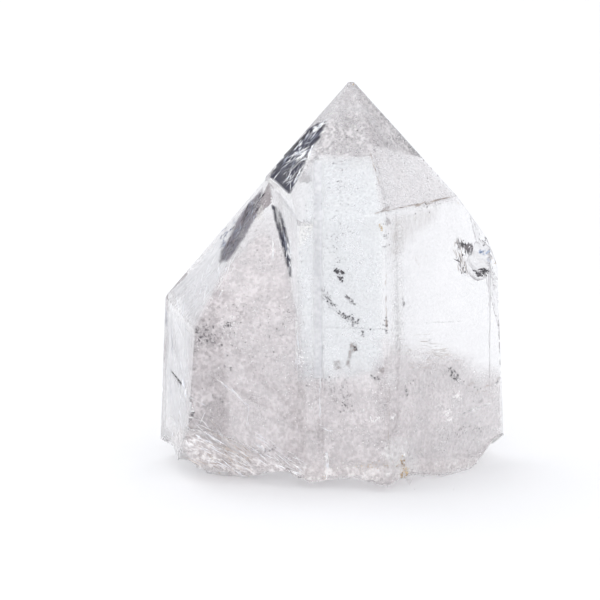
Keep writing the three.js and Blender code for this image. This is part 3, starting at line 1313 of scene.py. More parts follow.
@dataclass(frozen=True)
class Dust:
    """Tiny bubbles and grains all through the cloudy parts."""

    name: str
    count: int
    size: tuple[float, float]
    upper: bool = False

    def build(self, sight: Sight, finish: Material) -> Piece:
        """Scatter the dust.

        Args:
            sight: Knows the crystal's surface.
            finish: The dust's material.

        Returns:
            The new piece.
        """
        rng = np.random.default_rng(sum(map(ord, self.name)))
        low, high = (np.array(corner) / MM for corner in CAD_BOX)
        spots = rng.uniform(low, high, (self.count * 12, 3))
        spots = spots[rng.uniform(0.1, 1.0, len(spots)) < cloudiness(spots, self.upper)]
        spots = np.array([spot for spot in spots if sight.fitted(spot)[0] > 0.4])[: self.count]
        sizes = self.size[0] + (self.size[1] - self.size[0]) * rng.uniform(0.0, 1.0, len(spots)) ** 3
        points = []
        for spot, size in zip(spots, sizes):
            turn = np.linalg.qr(rng.normal(0.0, 1.0, (3, 3)))[0] * (size / 2 * rng.uniform(0.4, 1.0, 3))
            points += [spot + turn[0], spot + turn[1], spot - turn[0], spot - turn[1]]
            points += [spot + turn[2], spot - turn[2]]
        return add_piece(self.name, np.array(points), closed_up(points, 4), finish)


@dataclass(frozen=True)
class Flakes:
    """A scatter of small closed flakes along a path."""

    path: tuple[Spot, ...]
    count: int
    spread: float
    size: tuple[float, float]
    depth: float = 0.3
    loose: float = 0.5
    thin: float = 0.16

    def shapes(self, sight: Sight, rng: np.random.Generator) -> tuple[list, list]:
        """Make the flakes' points and faces.

        Args:
            sight: Finds points inside the crystal.
            rng: Draws the random numbers.

        Returns:
            Points in millimetres, and triangles.
        """
        points, faces = [], []
        for spot in along_path(self.path, self.count, self.spread, rng):
            place = sight.inside(*spot, self.depth + rng.uniform(0.0, self.loose))
            size = rng.uniform(0.0, 1.0) ** 2 * (self.size[1] - self.size[0]) + self.size[0]
            turn = unit(rng.normal(0.0, 0.5, 3) + [0.0, 1.0, 0.0])
            side = unit(np.cross(turn, rng.normal(0.0, 1.0, 3)))
            other = np.cross(turn, side)
            stretch = rng.uniform(0.45, 1.0)
            corners = int(rng.integers(5, 9))
            radii = size / 2 * rng.uniform(0.45, 1.0, corners)
            if place is None:
                continue
            centre = np.array(place)
            shape = []
            for i, radius in enumerate(radii):
                angle = 2 * math.pi * i / corners
                shape.append(centre + radius * (math.cos(angle) * side + stretch * math.sin(angle) * other))
            shape += [centre + turn * size * self.thin, centre - turn * size * self.thin]
            faces += [tuple(len(points) + i for i in face) for face in closed_up(shape, corners)]
            points += shape
        return points, faces


def flake_piece(name: str, groups: list[Flakes | Streaks], sight: Sight, finish: Material) -> Piece:
    """Join groups of flakes in one piece.

    Args:
        name: The piece's name.
        groups: The groups of flakes.
        sight: Finds points inside the crystal.
        finish: The flakes' material.

    Returns:
        The new piece.
    """
    rng = np.random.default_rng(sum(map(ord, name)))
    points, faces = [], []
    for group in groups:
        new_points, new_faces = group.shapes(sight, rng)
        faces += [tuple(i + len(points) for i in face) for face in new_faces]
        points += new_points
    spots = np.array(points)
    spots[:, 2] = np.maximum(spots[:, 2], SKIN)
    piece = add_piece(name, spots, faces, finish)
    LOG.info("%s: %d triangles", name, len(faces))
    return piece


# The studio.


@dataclass(frozen=True)
class Studio:
    """A pale floor that curves up behind, soft lamps and an even white room."""

    near: float = -8.0
    foot: float = 0.32
    bend: float = 0.16
    top: float = 1.3
    half: float = 8.0
    bounces: int = 32
    layers: int = 48

    def floor(self) -> None:
        """Make the floor and backdrop as one sheet."""
        profile = [(self.near, 0.0), (self.foot, 0.0)]
        for step in range(1, 13):
            angle = step / 12 * math.pi / 2
            profile.append((self.foot + self.bend * math.sin(angle), self.bend * (1.0 - math.cos(angle))))
        profile.append((self.foot + self.bend, self.top))
        count = len(profile)
        points = [(side, y, z) for side in (-self.half, self.half) for y, z in profile]
        faces = [(i, count + i, count + i + 1, i + 1) for i in range(count - 1)]
        mesh = bpy.data.meshes.new("floor")
        mesh.from_pydata(points, [], faces)
        mesh.polygons.foreach_set("use_smooth", [True] * len(faces))
        material, graph, shader, _ = new_material("paper")
        graph.feed(shader, Roughness=0.9, Specular_IOR_Level=0.2)
        shader.inputs["Base Color"].default_value = (0.93, 0.93, 0.935, 1.0)
        graph.feed(shader, Normal=graph.bump(graph.noise(900.0, 4.0), 0.15, 0.0002))
        mesh.materials.append(material)
        floor = bpy.data.objects.new("floor", mesh)
        bpy.context.scene.collection.objects.link(floor)

    @staticmethod
    def lamp(name: str, place: tuple, aim: tuple, size: float, power: float) -> None:
        """Add a square soft lamp.

        Args:
            name: The lamp's name.
            place: Where it is, in metres.
            aim: What it points at.
            size: Its side, in metres.
            power: Its power, in watts.
        """
        light = bpy.data.lights.new(name, "AREA")
        light.energy = power
        light.size = size
        lamp = bpy.data.objects.new(name, light)
        lamp.location = place
        lamp.rotation_euler = (Vector(aim) - Vector(place)).to_track_quat("-Z", "Y").to_euler()
        bpy.context.scene.collection.objects.link(lamp)

    def light(self) -> None:
        """Light the room."""
        world = bpy.data.worlds.new("room")
        world.use_nodes = True
        background = world.node_tree.nodes["Background"]
        background.inputs["Color"].default_value = (0.96, 0.97, 1.0, 1.0)
        background.inputs["Strength"].default_value = 0.88
        bpy.context.scene.world = world
        self.lamp("above", (-0.25, 0.05, 0.7), (0.0, 0.0, 0.02), 0.5, 1.3)
        self.lamp("front", (0.08, -0.8, 0.3), (0.0, 0.0, 0.03), 0.8, 1.9)

    def settings(self) -> None:
        """Set how light is followed and shown."""
        scene = bpy.context.scene
        scene.view_settings.view_transform = "Standard"
        scene.view_settings.look = "None"
        scene.cycles.max_bounces = self.bounces
        scene.cycles.transmission_bounces = self.bounces
        scene.cycles.transparent_max_bounces = self.layers
        scene.cycles.use_denoising = True


# What the crystal holds, and the light and shade painted on it.

GREY = (0.60, 0.545, 0.555)
PALE = (1.0, 0.955, 0.965)
HAZE = (0.83, 0.88, 0.93)
BLUE_WHITE = (0.96, 0.995, 1.0)
INK = (0.012, 0.012, 0.02)
SLATE = (0.05, 0.05, 0.08)
PURE_WHITE = (1.0, 1.0, 1.0)

MIST = SheetFinish("mist", GREY, PALE, 0.2)
BLUE_MIST = SheetFinish("blue_mist", HAZE, BLUE_WHITE, 0.15)
# The clouds and the cream film with an emission strength give off painted light, most on the rim cloud, where
# little lamp light reaches.
CLOUD = SheetFinish("cloud", GREY, PALE, 0.78, 330.0, patch_share=0.4, speck=1700.0, speck_share=0.35,
                    painted_glow=0.03)
RIM_CLOUD = SheetFinish("rim_cloud", (0.74, 0.68, 0.68), (1.0, 0.98, 0.98), 0.92, 500.0, speck=1500.0,
                        painted_glow=0.12)
# A white cloud layer that also serves as the painted highlight on the short point's left tip face.
WHITE_CLOUD_AND_HIGHLIGHT = SheetFinish("white_cloud", (0.87, 0.86, 0.87), PURE_WHITE, 0.8, 300.0, speck=1700.0, painted_glow=0.06)
COLUMN = SheetFinish("column", (0.80, 0.81, 0.84), (0.98, 0.98, 1.0), 1.0, 300.0, patch_share=0.1,
                     speck=1700.0, speck_share=0.1)
THIN_CLOUD = SheetFinish("thin_cloud", (0.76, 0.71, 0.725), (1.0, 0.97, 0.98), 0.72, 300.0, speck=1700.0)
BLUE_CLOUD = SheetFinish("blue_cloud", HAZE, BLUE_WHITE, 0.5, 240.0, speck=1700.0, speck_share=0.4)
SHADE = SheetFinish("shade", (0.50, 0.43, 0.41), (0.76, 0.70, 0.67), 0.4, 500.0, streak=True)
FACE_STREAKS = SheetFinish("face_streaks", (0.60, 0.61, 0.67), (0.98, 0.99, 1.0), 0.75, 260.0, 0.35, 0.65,
                           0.7, 900.0, 0.5, True)
RIB_FILM = SheetFinish("rib_film", (0.46, 0.41, 0.39), (0.97, 0.96, 0.97), 0.72, 420.0, 0.3, 0.6,
                       0.5, 1300.0, 0.4, True)
# Painted dark refraction laid just outside the tip faces: softer on the short point, deepest on the other
# faces.
SOFT_DARK_REFRACTION = SheetFinish("soft_dark", (0.03, 0.03, 0.04), (0.26, 0.24, 0.27), 1.0, 600.0, 0.24, 0.5,
                        0.6, 1500.0, 0.4, True)
DARK_REFRACTION = SheetFinish("dark_film", INK, SLATE, 1.0, 900.0, 0.30, 0.42, 0.9, 1500.0, 0.15, True)
BROWN_FILM = SheetFinish("brown_film", (0.16, 0.12, 0.11), (0.42, 0.36, 0.34), 0.75, 500.0)
CREAM_FILM = SheetFinish("cream_film", (0.93, 0.92, 0.90), (1.0, 0.99, 0.96), 0.7, 400.0, painted_glow=0.08)

RIB_BREAK = ((180, 424), (206, 430), (226, 444), (248, 456), (272, 468), (306, 480), (300, 500), (180, 500))
LEFT_SIDE = ((164, 300), (194, 332), (186, 440), (166, 420))

SHORT_CLOUD = ((262, 224), (286, 250), (297, 300), (303, 350), (308, 400), (308, 500), (262, 500), (226, 480),
               (184, 440), (184, 332), (226, 264))
CENTRE_CLOUD = ((278, 366), (330, 364), (356, 356), (402, 344), (402, 500), (278, 500))
RIGHT_CLOUD = ((372, 330), (404, 334), (430, 346), (462, 350), (486, 360), (520, 376), (520, 432),
               (490, 480), (372, 500))
CENTRE_HAZE = ((300, 222), (304, 196), (314, 157), (382, 157), (387, 214), (387, 370), (352, 380), (296, 384),
               (294, 260))
TIP_CLOUD = ((354, 74), (372, 128), (380, 160), (316, 160), (294, 200), (288, 204), (306, 152), (324, 112))

SHEETS = (
    (Sheet('short_cloud', SHORT_CLOUD, 1.0, soft=6.0), CLOUD),
    (Sheet('centre_cloud', CENTRE_CLOUD, 1.2, soft=22.0), CLOUD),
    (Sheet('right_cloud', RIGHT_CLOUD, 1.2, soft=22.0), CLOUD),
    (Sheet('centre_haze', CENTRE_HAZE, 1.0, soft=8.0), BLUE_CLOUD),
    (Sheet('tip_cloud', TIP_CLOUD, 0.8), THIN_CLOUD),
    (Sheet('right_tip_cloud', ((352, 76), (474, 196), (454, 204), (378, 214), (370, 152)), 0.8), THIN_CLOUD),
    # White sheet on the short point's left tip face: a painted highlight.
    (Sheet('short_tip_cloud', ((262, 186), (228, 262), (194, 334), (156, 306), (160, 284), (214, 232)), 0.8),
           WHITE_CLOUD_AND_HIGHLIGHT),
    (Sheet('milky_patch', ((380, 436), (416, 436), (424, 476), (380, 480)), 0.25, soft=9.0), WHITE_CLOUD_AND_HIGHLIGHT),
    (Sheet('rim_cloud', ((172, 424), (200, 434), (226, 450), (300, 462), (400, 462), (480, 455), (497, 444),
           (484, 468), (440, 478), (380, 484), (300, 484), (230, 480), (200, 470), (170, 440)), 0.3,
           soft=4.0), RIM_CLOUD),
    (Sheet('column_film', ((312, 158), (324, 158), (324, 380), (312, 380)), 0.5, 3.0, 3.0), COLUMN),
    (Sheet('column_cloud', ((312, 360), (325, 360), (325, 462), (312, 462)), 0.6, 3.0, 3.0), THIN_CLOUD),
    (Sheet('edge_film', ((390, 214), (405, 214), (405, 356), (390, 356)), 0.5, 3.0, 4.0), WHITE_CLOUD_AND_HIGHLIGHT),
    (Sheet('shoulder_shade', ((386, 214), (446, 200), (436, 224), (414, 244), (394, 262), (386, 264)), 0.5,
           soft=10.0), SHADE),
    (Sheet('left_streaks', LEFT_SIDE, 0.4, 5.0, 4.0), FACE_STREAKS),
    (Sheet('rib_streaks', RIB_BREAK, 0.5, flow=(57, 40)), RIB_FILM),
    (Sheet('left_tip_streaks', ((258, 190), (168, 290), (194, 330), (232, 262)), 0.5, 5.0, flow=(-62, 72)),
           FACE_STREAKS),
    # The next three sheets lie just outside the tip faces and paint the dark refraction that they show.
    (Sheet('dark_facet', ((328, 120), (318, 122), (308, 128), (299, 137), (275, 162), (269, 177), (290, 196),
           (304, 168), (310, 152), (320, 139)), -0.01, 2.5, 1.5, (48, -50)), DARK_REFRACTION),
    (Sheet('dark_tip_streak', ((264, 184), (256, 194), (245, 207), (236, 220), (229, 236), (220, 250),
           (217, 264), (228, 262), (238, 250), (247, 236), (254, 222), (264, 196)), -0.01, 2.5, 2.4,
           (38, -62)), SOFT_DARK_REFRACTION),
    (Sheet('dark_sliver', ((270, 203), (279, 207), (285, 222), (290, 243), (292, 268), (292, 290), (287, 270),
           (281, 246), (274, 222)), -0.01, 2.5, 1.5, (18, 80)), DARK_REFRACTION),
    (Sheet('arrow_mark', ((374, 215), (383, 208), (391, 204), (391, 209), (385, 211), (378, 215)), 0.2, 1.5,
           1.0), BROWN_FILM),
    (Sheet('dark_box', ((350, 342), (358, 342), (358, 351), (353, 353), (350, 368), (345, 366)), 0.5, 2.0,
           1.0), BROWN_FILM),
    (Sheet('grey_box', ((333, 360), (342, 360), (342, 371), (333, 371)), 0.7, 2.0, 2.0), BROWN_FILM),
    (Sheet('dark_band', ((375, 367), (385, 367), (385, 376), (381, 374)), 0.6, 2.0, 1.0), BROWN_FILM),
    (Sheet('cream_patch', ((298, 222), (319, 222), (311, 233), (303, 247), (298, 247)), 0.8, 2.5, 1.0),
           CREAM_FILM),
    (Sheet('white_corner', ((262, 201), (266, 222), (253, 221), (257, 210)), 0.5, 2.0, 1.5), CREAM_FILM),
    (Sheet('white_band', ((266, 176), (270, 179), (284, 190), (293, 197), (290, 202), (280, 193), (268, 183)),
           0.12, 1.5, 1.0), CREAM_FILM),
)

VEILS = (
    (Veil("cloud_1", -12.0, 4.0, 6.0), MIST),
    (Veil("cloud_2", -7.5, -9.0, -5.0), MIST),
    (Veil("cloud_3", -3.0, 12.0, 9.0), MIST),
    (Veil("cloud_4", 2.0, -14.0, -8.0), MIST),
    (Veil("cloud_5", 7.5, 7.0, 5.0), MIST),
    (Veil("haze_1", -9.0, -4.0, -4.0, True), BLUE_MIST),
    (Veil("haze_2", -1.0, 13.0, 7.0, True), BLUE_MIST),
    (Veil("haze_3", 6.0, -11.0, -6.0, True), BLUE_MIST),
)

PALE_DUST = FlakeFinish("pale_dust", (0.78, 0.75, 0.75), (0.98, 0.96, 0.96), 0.6)
DARK_DUST = FlakeFinish("dark_dust", (0.26, 0.23, 0.24), (0.50, 0.45, 0.46), 0.6)
BLUE_DUST = FlakeFinish("blue_dust", (0.50, 0.54, 0.64), (0.8, 0.85, 0.92), 0.6)

DUST = (
    (Dust("pale_dust", 4200, (0.07, 0.34)), PALE_DUST),
    (Dust("dark_dust", 2600, (0.07, 0.30)), DARK_DUST),
    (Dust("blue_dust", 1200, (0.06, 0.24), True), BLUE_DUST),
)

BLACK = FlakeFinish("black_flake", INK, (0.10, 0.09, 0.11), 0.25)
SPECK = FlakeFinish("grey_speck", (0.10, 0.09, 0.10), (0.34, 0.31, 0.33), 0.5)
# White flakes that give off painted light: real white specks in the cloud, and painted glints.
WHITE = FlakeFinish("white_flake", (0.90, 0.89, 0.90), PURE_WHITE, 0.35, 0.32)
BLUE = FlakeFinish("blue_flake", (0.16, 0.26, 0.46), (0.5, 0.62, 0.85), 0.3)
STEEL = FlakeFinish("steel_streak", (0.20, 0.21, 0.28), (0.5, 0.53, 0.62), 0.4)
TAN = FlakeFinish("tan_streak", (0.46, 0.39, 0.36), (0.74, 0.67, 0.62), 0.6)
CHAR = FlakeFinish("char_streak", (0.05, 0.045, 0.055), (0.30, 0.27, 0.29), 0.5)
# Pale streaks that give off painted light: real light streaks of healed cracks and ribs inside, and painted
# highlights on the tip faces.
FROST_AND_HIGHLIGHT = FlakeFinish("frost_streak", (0.86, 0.88, 0.93), PURE_WHITE, 0.35, 0.12)
RUST = FlakeFinish("rust_grain", (0.38, 0.25, 0.13), (0.72, 0.56, 0.34), 0.7)

FLAKES = {
    BLACK: (
        Flakes(((334, 271), (343, 272)), 26, 1.0, (0.3, 0.8)),
        Flakes(((338, 273), (342, 281)), 20, 1.0, (0.3, 0.7)),
        Flakes(((322, 290), (326, 296), (330, 302), (337, 309)), 60, 1.5, (0.08, 0.4)),
        Flakes(((338, 314), (346, 315), (352, 319), (359, 323)), 70, 1.6, (0.08, 0.48)),
        Flakes(((350, 325), (356, 327)), 12, 0.8, (0.15, 0.4)),
        Flakes(((362, 330), (363, 337)), 12, 0.7, (0.2, 0.5)),
        Flakes(((368, 329), (378, 331)), 8, 0.5, (0.1, 0.3)),
        Flakes(((345, 296), (351, 299), (355, 304)), 24, 0.9, (0.15, 0.5)),
        Flakes(((355, 345), (356, 351)), 12, 0.8, (0.3, 0.6), 0.4),
        Flakes(((383, 317), (388, 320), (385, 330), (389, 337)), 26, 2.0, (0.1, 0.45)),
        Flakes(((458, 246), (463, 262), (466, 274)), 46, 2.0, (0.1, 0.55), 0.5),
        Flakes(((462, 244), (470, 246), (469, 254)), 34, 1.6, (0.3, 0.9), 0.5),
        Flakes(((476, 271), (481, 276), (487, 271)), 34, 1.6, (0.3, 0.9), 0.4),
        Flakes(((483, 246), (487, 237)), 12, 1.0, (0.2, 0.6)),
        Flakes(((449, 368), (453, 374), (458, 380)), 40, 2.2, (0.15, 0.7), 0.4),
        Flakes(((491, 387), (501, 378)), 14, 0.8, (0.15, 0.5)),
        Flakes(((371, 376), (380, 381)), 20, 1.6, (0.15, 0.5), 0.4),
        Flakes(((213, 397), (224, 402)), 16, 1.4, (0.2, 0.6), 0.4),
        Flakes(((221, 366), (234, 368)), 14, 1.3, (0.15, 0.5), 0.4),
        Flakes(((222, 321), (232, 326)), 16, 2.0, (0.15, 0.5), 0.4),
        Flakes(((189, 399), (191, 414)), 18, 1.6, (0.2, 0.6), 0.6),
        Flakes(((264, 449), (266, 452)), 6, 0.7, (0.3, 0.6), 0.8),
        Flakes(((271, 451), (275, 447)), 10, 0.8, (0.2, 0.6), 0.8),
        Flakes(((365, 482), (384, 480)), 26, 1.4, (0.15, 0.6)),
        Flakes(((327, 481), (333, 481)), 8, 0.9, (0.15, 0.5)),
        Flakes(((405, 386), (408, 396)), 16, 0.9, (0.2, 0.5), 0.4),
    ),
    SPECK: (
        Flakes(((336, 225), (344, 258)), 60, 7.0, (0.1, 0.35)),
        Flakes(((338, 160), (345, 205)), 60, 6.0, (0.1, 0.35)),
        Flakes(((345, 385), (348, 412)), 60, 5.0, (0.12, 0.45)),
        Flakes(((198, 330), (212, 344)), 50, 5.0, (0.2, 0.6), 0.4),
        Flakes(((225, 290), (280, 330), (230, 350)), 160, 22.0, (0.1, 0.4)),
        Flakes(((466, 388), (478, 398)), 26, 4.0, (0.12, 0.45), 0.4),
        Flakes(((455, 440), (480, 430)), 40, 5.0, (0.12, 0.45), 0.4),
        Flakes(((355, 120), (352, 148)), 60, 6.0, (0.1, 0.35)),
        Flakes(((386, 215), (388, 262)), 50, 3.0, (0.1, 0.35), 0.6),
        Flakes(((395, 300), (400, 334)), 50, 1.6, (0.15, 0.4), 0.8),
        Flakes(((420, 210), (440, 203)), 30, 3.0, (0.15, 0.4), 0.4),
        Flakes(((215, 290), (270, 330), (225, 420)), 520, 26.0, (0.05, 0.27), 0.25),
        Flakes(((320, 395), (380, 430)), 300, 26.0, (0.05, 0.27), 0.25),
        Flakes(((400, 380), (485, 420)), 380, 24.0, (0.05, 0.27), 0.25),
        Flakes(((315, 180), (372, 200)), 200, 18.0, (0.05, 0.2), 0.25),
        Flakes(((312, 250), (375, 330)), 260, 20.0, (0.05, 0.18), 0.25),
        Flakes(((350, 105), (430, 182)), 200, 11.0, (0.05, 0.25), 0.25),
        Flakes(((240, 470), (460, 468)), 200, 8.0, (0.06, 0.3), 0.2),
        Flakes(((196, 322), (228, 344)), 130, 7.0, (0.1, 0.5), 0.4),
        Flakes(((186, 334), (196, 352)), 60, 3.0, (0.1, 0.5), 0.4),
        Flakes(((440, 436), (484, 428)), 80, 6.0, (0.1, 0.45), 0.4),
        Flakes(((402, 382), (440, 392)), 60, 5.0, (0.08, 0.35), 0.4),
        Flakes(((320, 384), (350, 396)), 70, 6.0, (0.08, 0.4), 0.4),
        Flakes(((264, 286), (286, 360)), 90, 8.0, (0.08, 0.3), 0.4),
        Flakes(((330, 130), (350, 146)), 90, 6.0, (0.06, 0.3), 0.4),
        Flakes(((372, 120), (440, 190)), 110, 6.0, (0.06, 0.3), 0.4),
        Flakes(((302, 196), (340, 220)), 80, 9.0, (0.06, 0.28), 0.4),
        Flakes(((210, 380), (215, 420)), 40, 6.0, (0.1, 0.4), 0.4),
    ),
    WHITE: (
        Flakes(((454, 392), (459, 399)), 40, 2.2, (0.12, 0.6)),
        Flakes(((449, 406), (450, 421)), 56, 2.2, (0.12, 0.7)),
        Flakes(((370, 417), (374, 422), (380, 417)), 34, 0.7, (0.2, 0.5)),
        Flakes(((392, 419), (396, 414)), 16, 0.8, (0.2, 0.5)),
        Flakes(((402, 447), (405, 458)), 34, 1.6, (0.2, 0.6)),
        Flakes(((484, 396), (498, 386)), 40, 4.0, (0.1, 0.4), 0.4),
        Flakes(((300, 356), (302, 366)), 20, 1.8, (0.15, 0.5), 0.4),
        Flakes(((190, 300), (206, 290), (232, 340)), 90, 12.0, (0.08, 0.35), 0.4),
        Flakes(((380, 452), (398, 460)), 60, 5.0, (0.15, 0.6), 0.4),
        Flakes(((326, 453), (327, 476)), 40, 0.8, (0.2, 0.5), 0.4),
        Flakes(((262, 446), (264, 450)), 10, 0.6, (0.2, 0.6), 0.5),
        Flakes(((273, 246), (273, 257)), 20, 0.6, (0.15, 0.4), 0.5),
        Flakes(((461, 268), (470, 274), (474, 262)), 30, 3.0, (0.15, 0.5)),
        Flakes(((478, 262), (486, 258)), 24, 2.2, (0.15, 0.6)),
        Flakes(((310, 131), (321, 127)), 40, 1.0, (0.15, 0.5), 0.1),
        Flakes(((300, 158), (309, 150)), 40, 1.4, (0.15, 0.6), 0.1),
        Flakes(((302, 166), (308, 158)), 24, 1.0, (0.15, 0.5), 0.1),
        Flakes(((192, 408), (194, 410)), 6, 0.8, (0.3, 0.6)),
        Flakes(((215, 290), (270, 330), (240, 430)), 560, 28.0, (0.05, 0.32), 0.25),
        Flakes(((305, 390), (380, 440)), 380, 25.0, (0.05, 0.32), 0.25),
        Flakes(((400, 380), (485, 440)), 420, 24.0, (0.05, 0.34), 0.25),
    ),
    BLUE: (
        Flakes(((479, 254), (487, 251)), 20, 1.4, (0.2, 0.7), 0.35),
        Flakes(((487, 259), (490, 262)), 8, 1.0, (0.15, 0.4), 0.35),
    ),
    FROST_AND_HIGHLIGHT: (
        # Streaks at depths below zero lie just outside the tip faces: painted highlights across the painted
        # dark refraction.
        Streaks(((276, 176), (300, 150), (322, 126)), 46, (48, -50), (4, 15), (0.05, 0.24), 4.0, -0.03, 0.25),
        Streaks(((280, 186), (300, 168)), 26, (48, -58), (4, 14), (0.04, 0.14), 3.5, -0.03, 0.3),
        Streaks(((292, 188), (303, 166)), 14, (12, -24), (5, 12), (0.05, 0.16), 0.6, -0.03),
        Streaks(((314, 131), (325, 123)), 14, (48, -30), (4, 10), (0.1, 0.4), 1.0, -0.04, 0.2),
        Streaks(((298, 160), (309, 150)), 26, (48, -50), (4, 12), (0.08, 0.35), 2.2, -0.04, 0.3),
        Streaks(((266, 174), (294, 141)), 24, (48, -50), (5, 14), spread=0.8, depth=-0.03),
        Streaks(((287, 240), (293, 276)), 24, (18, 80), (4, 14), (0.04, 0.16), 1.2, -0.03),
        Streaks(((272, 243), (274, 258)), 8, (1, 30), (5, 12), (0.06, 0.2), 0.6),
        Streaks(((176, 306), (180, 420)), 70, (1, 30), (8, 30), (0.04, 0.22), 5.0, 0.25),
        Streaks(((184, 352), (184, 402)), 30, (1, 30), (8, 26), (0.1, 0.4), 2.2),
        Streaks(((196, 300), (240, 235)), 60, (-38, 62), (6, 20), (0.05, 0.25), 8.0, sway=0.2),
        Streaks(((204, 436), (262, 478)), 60, (57, 40), (10, 30), (0.04, 0.16), 8.0, 0.15, 0.16),
        Streaks(((250, 440), (300, 470)), 30, (57, 40), (8, 22), spread=7.0, depth=0.2, sway=0.2),
        Streaks(((165, 415), (190, 445)), 30, (30, 40), (6, 16), (0.06, 0.3), 6.0, 0.2, 0.4),
        Streaks(((212, 375), (235, 393)), 12, (23, 18), (6, 12), (0.06, 0.18), depth=0.5, sway=0.04),
        Streaks(((235, 393), (249, 407)), 10, (14, 14), (5, 10), (0.06, 0.2), depth=0.5, sway=0.04),
        Streaks(((249, 407), (247, 423), (252, 432)), 8, (-1, 16), (5, 10), (0.05, 0.14), depth=0.5),
        Streaks(((190, 397), (208, 407)), 8, (18, 10), (5, 9), (0.05, 0.12), 0.3, 0.4, 0.05),
        Streaks(((208, 407), (201, 421)), 6, (-7, 14), (4, 8), (0.05, 0.12), 0.3, 0.4, 0.05),
        Streaks(((201, 421), (188, 417)), 6, (-13, -4), (4, 8), (0.05, 0.12), 0.3, 0.4, 0.05),
        Streaks(((320, 378), (320, 425)), 16, (0, 1), (8, 16), (0.05, 0.14), depth=0.4, sway=0.02),
        Streaks(((320, 425), (326, 430), (340, 432)), 8, (14, 4), (4, 9), (0.05, 0.12), 0.3, 0.4, 0.2),
        Streaks(((327, 452), (327, 477)), 14, (0, 1), (5, 12), (0.08, 0.26), 0.6, 0.2),
        Streaks(((296, 316), (297, 372)), 22, (1, 30), (8, 20), (0.04, 0.12), 1.2, 0.4, 0.06),
    ),
    STEEL: (
        # Streaks at depths below zero lie just outside the tip faces and streak the painted dark refraction.
        Streaks(((280, 172), (318, 130)), 50, (48, -50), (5, 16), (0.04, 0.2), 4.5, -0.03, 0.2),
        Streaks(((284, 232), (290, 262)), 16, (18, 80), (5, 14), (0.04, 0.14), 1.2, -0.03),
        Streaks(((165, 300), (166, 330)), 26, (1, 30), (6, 16), (0.06, 0.3), 1.1, 0.25),
        Streaks(((171, 326), (172, 352)), 18, (1, 30), (6, 14), spread=0.8, depth=0.25),
        Streaks(((168, 352), (170, 400)), 20, (1, 30), (8, 20), (0.03, 0.12), 2.0, 0.25),
        Streaks(((257, 200), (226, 254)), 60, (-38, 62), (4, 13), (0.04, 0.16), 3.0, -0.04, 0.3),
        Streaks(((232, 222), (222, 246)), 26, (-38, 62), (4, 10), spread=3.0, depth=-0.03, sway=0.3),
    ),
    CHAR: (
        # The first streaks lie just outside the short point's tip face and darken its painted dark
        # refraction.
        Streaks(((261, 193), (246, 216), (228, 250)), 44, (-38, 62), (4, 14), (0.08, 0.32), 1.8, -0.03, 0.2),
        Streaks(((459, 243), (471, 251)), 34, (3, 20), (5, 15), (0.08, 0.36), 2.0, 0.25, 0.25),
        Streaks(((458, 258), (464, 272)), 16, (5, 22), (4, 10), spread=1.8, depth=0.25, sway=0.3),
        Streaks(((475, 272), (487, 270)), 16, (10, 4), (3, 7), (0.08, 0.36), 1.6, 0.25, 0.8),
        Streaks(((453, 368), (456, 379)), 12, (5, 8), (3, 8), spread=2.0, depth=0.4, sway=0.5),
        Streaks(((345, 296), (356, 304)), 14, (10, 8), (3, 7), (0.03, 0.12), 1.2, sway=0.3),
        Streaks(((322, 290), (334, 308)), 18, (10, 14), (3, 7), (0.03, 0.12), 1.4, sway=0.3),
        Streaks(((336, 311), (360, 325)), 26, (20, 10), (3, 8), (0.03, 0.12), 1.4, sway=0.3),
    ),
    TAN: (
        Streaks(((200, 436), (262, 478)), 90, (57, 40), (8, 26), (0.04, 0.18), 9.0, 0.14, 0.2),
        Streaks(((170, 412), (192, 440)), 30, (30, 40), (5, 14), spread=6.0, depth=0.2, sway=0.4),
        Streaks(((371, 154), (380, 186)), 16, (10, 34), (5, 10), (0.04, 0.09), 0.3, 0.15, 0.05),
        Streaks(((376, 213), (455, 196)), 34, (79, -17), (6, 14), (0.04, 0.1), depth=0.15, sway=0.05),
        Streaks(((418, 205), (438, 200)), 16, (79, -17), (4, 10), (0.06, 0.18), 0.7, 0.15),
        Flakes(((411, 258), (430, 256)), 34, 1.2, (0.06, 0.24)),
        Flakes(((417, 258), (419, 268)), 24, 1.2, (0.06, 0.24)),
        Streaks(((424, 344), (452, 358)), 60, (1, 0), (4, 14), (0.03, 0.07), 4.0, sway=0.02),
        Streaks(((400, 350), (440, 366)), 40, (1, 0), (4, 12), (0.03, 0.07), 5.0, 0.4, 0.02),
        Streaks(((389, 384), (389, 468)), 24, (0, 1), (6, 16), (0.03, 0.08), 0.6, 0.4, 0.03),
        Streaks(((457, 242), (464, 272)), 34, (5, 30), (5, 13), (0.06, 0.22), 2.2, sway=0.15),
        Streaks(((386, 276), (387, 336)), 12, (0, 1), (6, 14), (0.04, 0.12), 0.6, 0.4, 0.05),
        Streaks(((466, 382), (492, 396)), 12, (24, -10), (4, 10), (0.04, 0.14), 2.0, 0.4, 0.2),
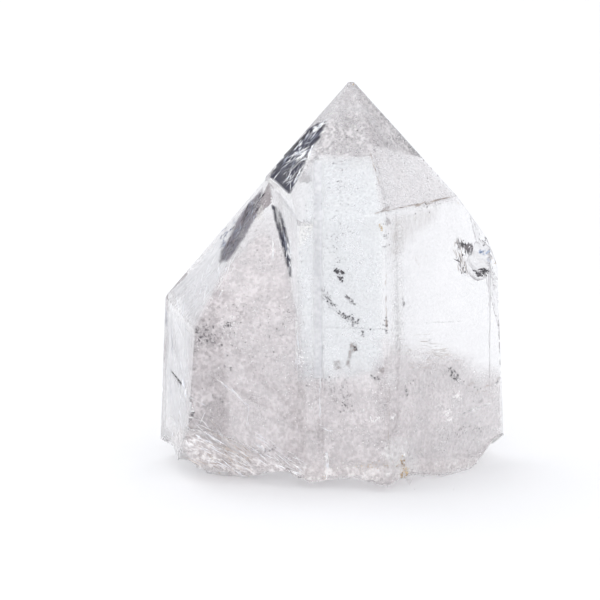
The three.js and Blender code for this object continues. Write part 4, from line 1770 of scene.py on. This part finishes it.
        Streaks(((484, 388), (502, 378)), 8, (18, -10), (4, 9), (0.05, 0.14), 0.6),
    ),
    RUST: (
        Flakes(((380, 224), (382, 230)), 16, 0.8, (0.15, 0.5), 0.1),
        Flakes(((353, 84), (355, 85)), 4, 0.5, (0.15, 0.35), 0.05),
        Flakes(((402, 462), (405, 476)), 110, 2.6, (0.08, 0.5), 0.1, 0.1),
        Flakes(((355, 466), (398, 466)), 80, 2.5, (0.06, 0.3), 0.1, 0.1),
        Flakes(((320, 477), (328, 478)), 14, 1.2, (0.1, 0.35), 0.1),
        Flakes(((217, 474), (220, 476)), 10, 1.0, (0.12, 0.35), 0.1),
        Flakes(((244, 476), (252, 480)), 10, 1.0, (0.12, 0.3), 0.1),
        Flakes(((245, 452), (251, 460)), 14, 1.2, (0.1, 0.3), 0.1),
        Flakes(((493, 258), (496, 264)), 8, 0.7, (0.15, 0.4), 0.1),
        Flakes(((458, 203), (462, 206)), 6, 0.7, (0.15, 0.3), 0.1),
    ),
}


@dataclass
class Inclusions:
    """Everything inside the crystal: clouds, films, flakes and grains, and the light and shade painted on and
    under its faces.
    """

    sight: Sight

    def build(self) -> None:
        """Build every sheet and every group of flakes."""
        parts = (*VEILS, *SHEETS, *DUST)
        finishes = {finish: finish.build() for _, finish in parts}
        for sheet, finish in parts:
            piece = sheet.build(self.sight, finishes[finish])
            LOG.info("%s: %d triangles", piece.name, len(piece.data.polygons))
        for finish, groups in FLAKES.items():
            flake_piece(finish.name + "s", list(groups), self.sight, finish.build())


# The whole.


def main() -> None:
    """Build the crystal and the studio in order, and report each piece."""
    logging.basicConfig(level=logging.INFO, format="%(name)s: %(message)s")
    view = ViewPoint()
    view.camera()
    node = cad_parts[NODE]
    finish = QuartzFinish().build()
    skin = CrystalSkin().build(node, finish)
    LOG.info("%s: %d triangles", skin.name, len(skin.data.polygons))
    Inclusions(Sight(view, node)).build()
    studio = Studio()
    studio.floor()
    studio.light()
    studio.settings()


if __name__ == "__main__":
    main()
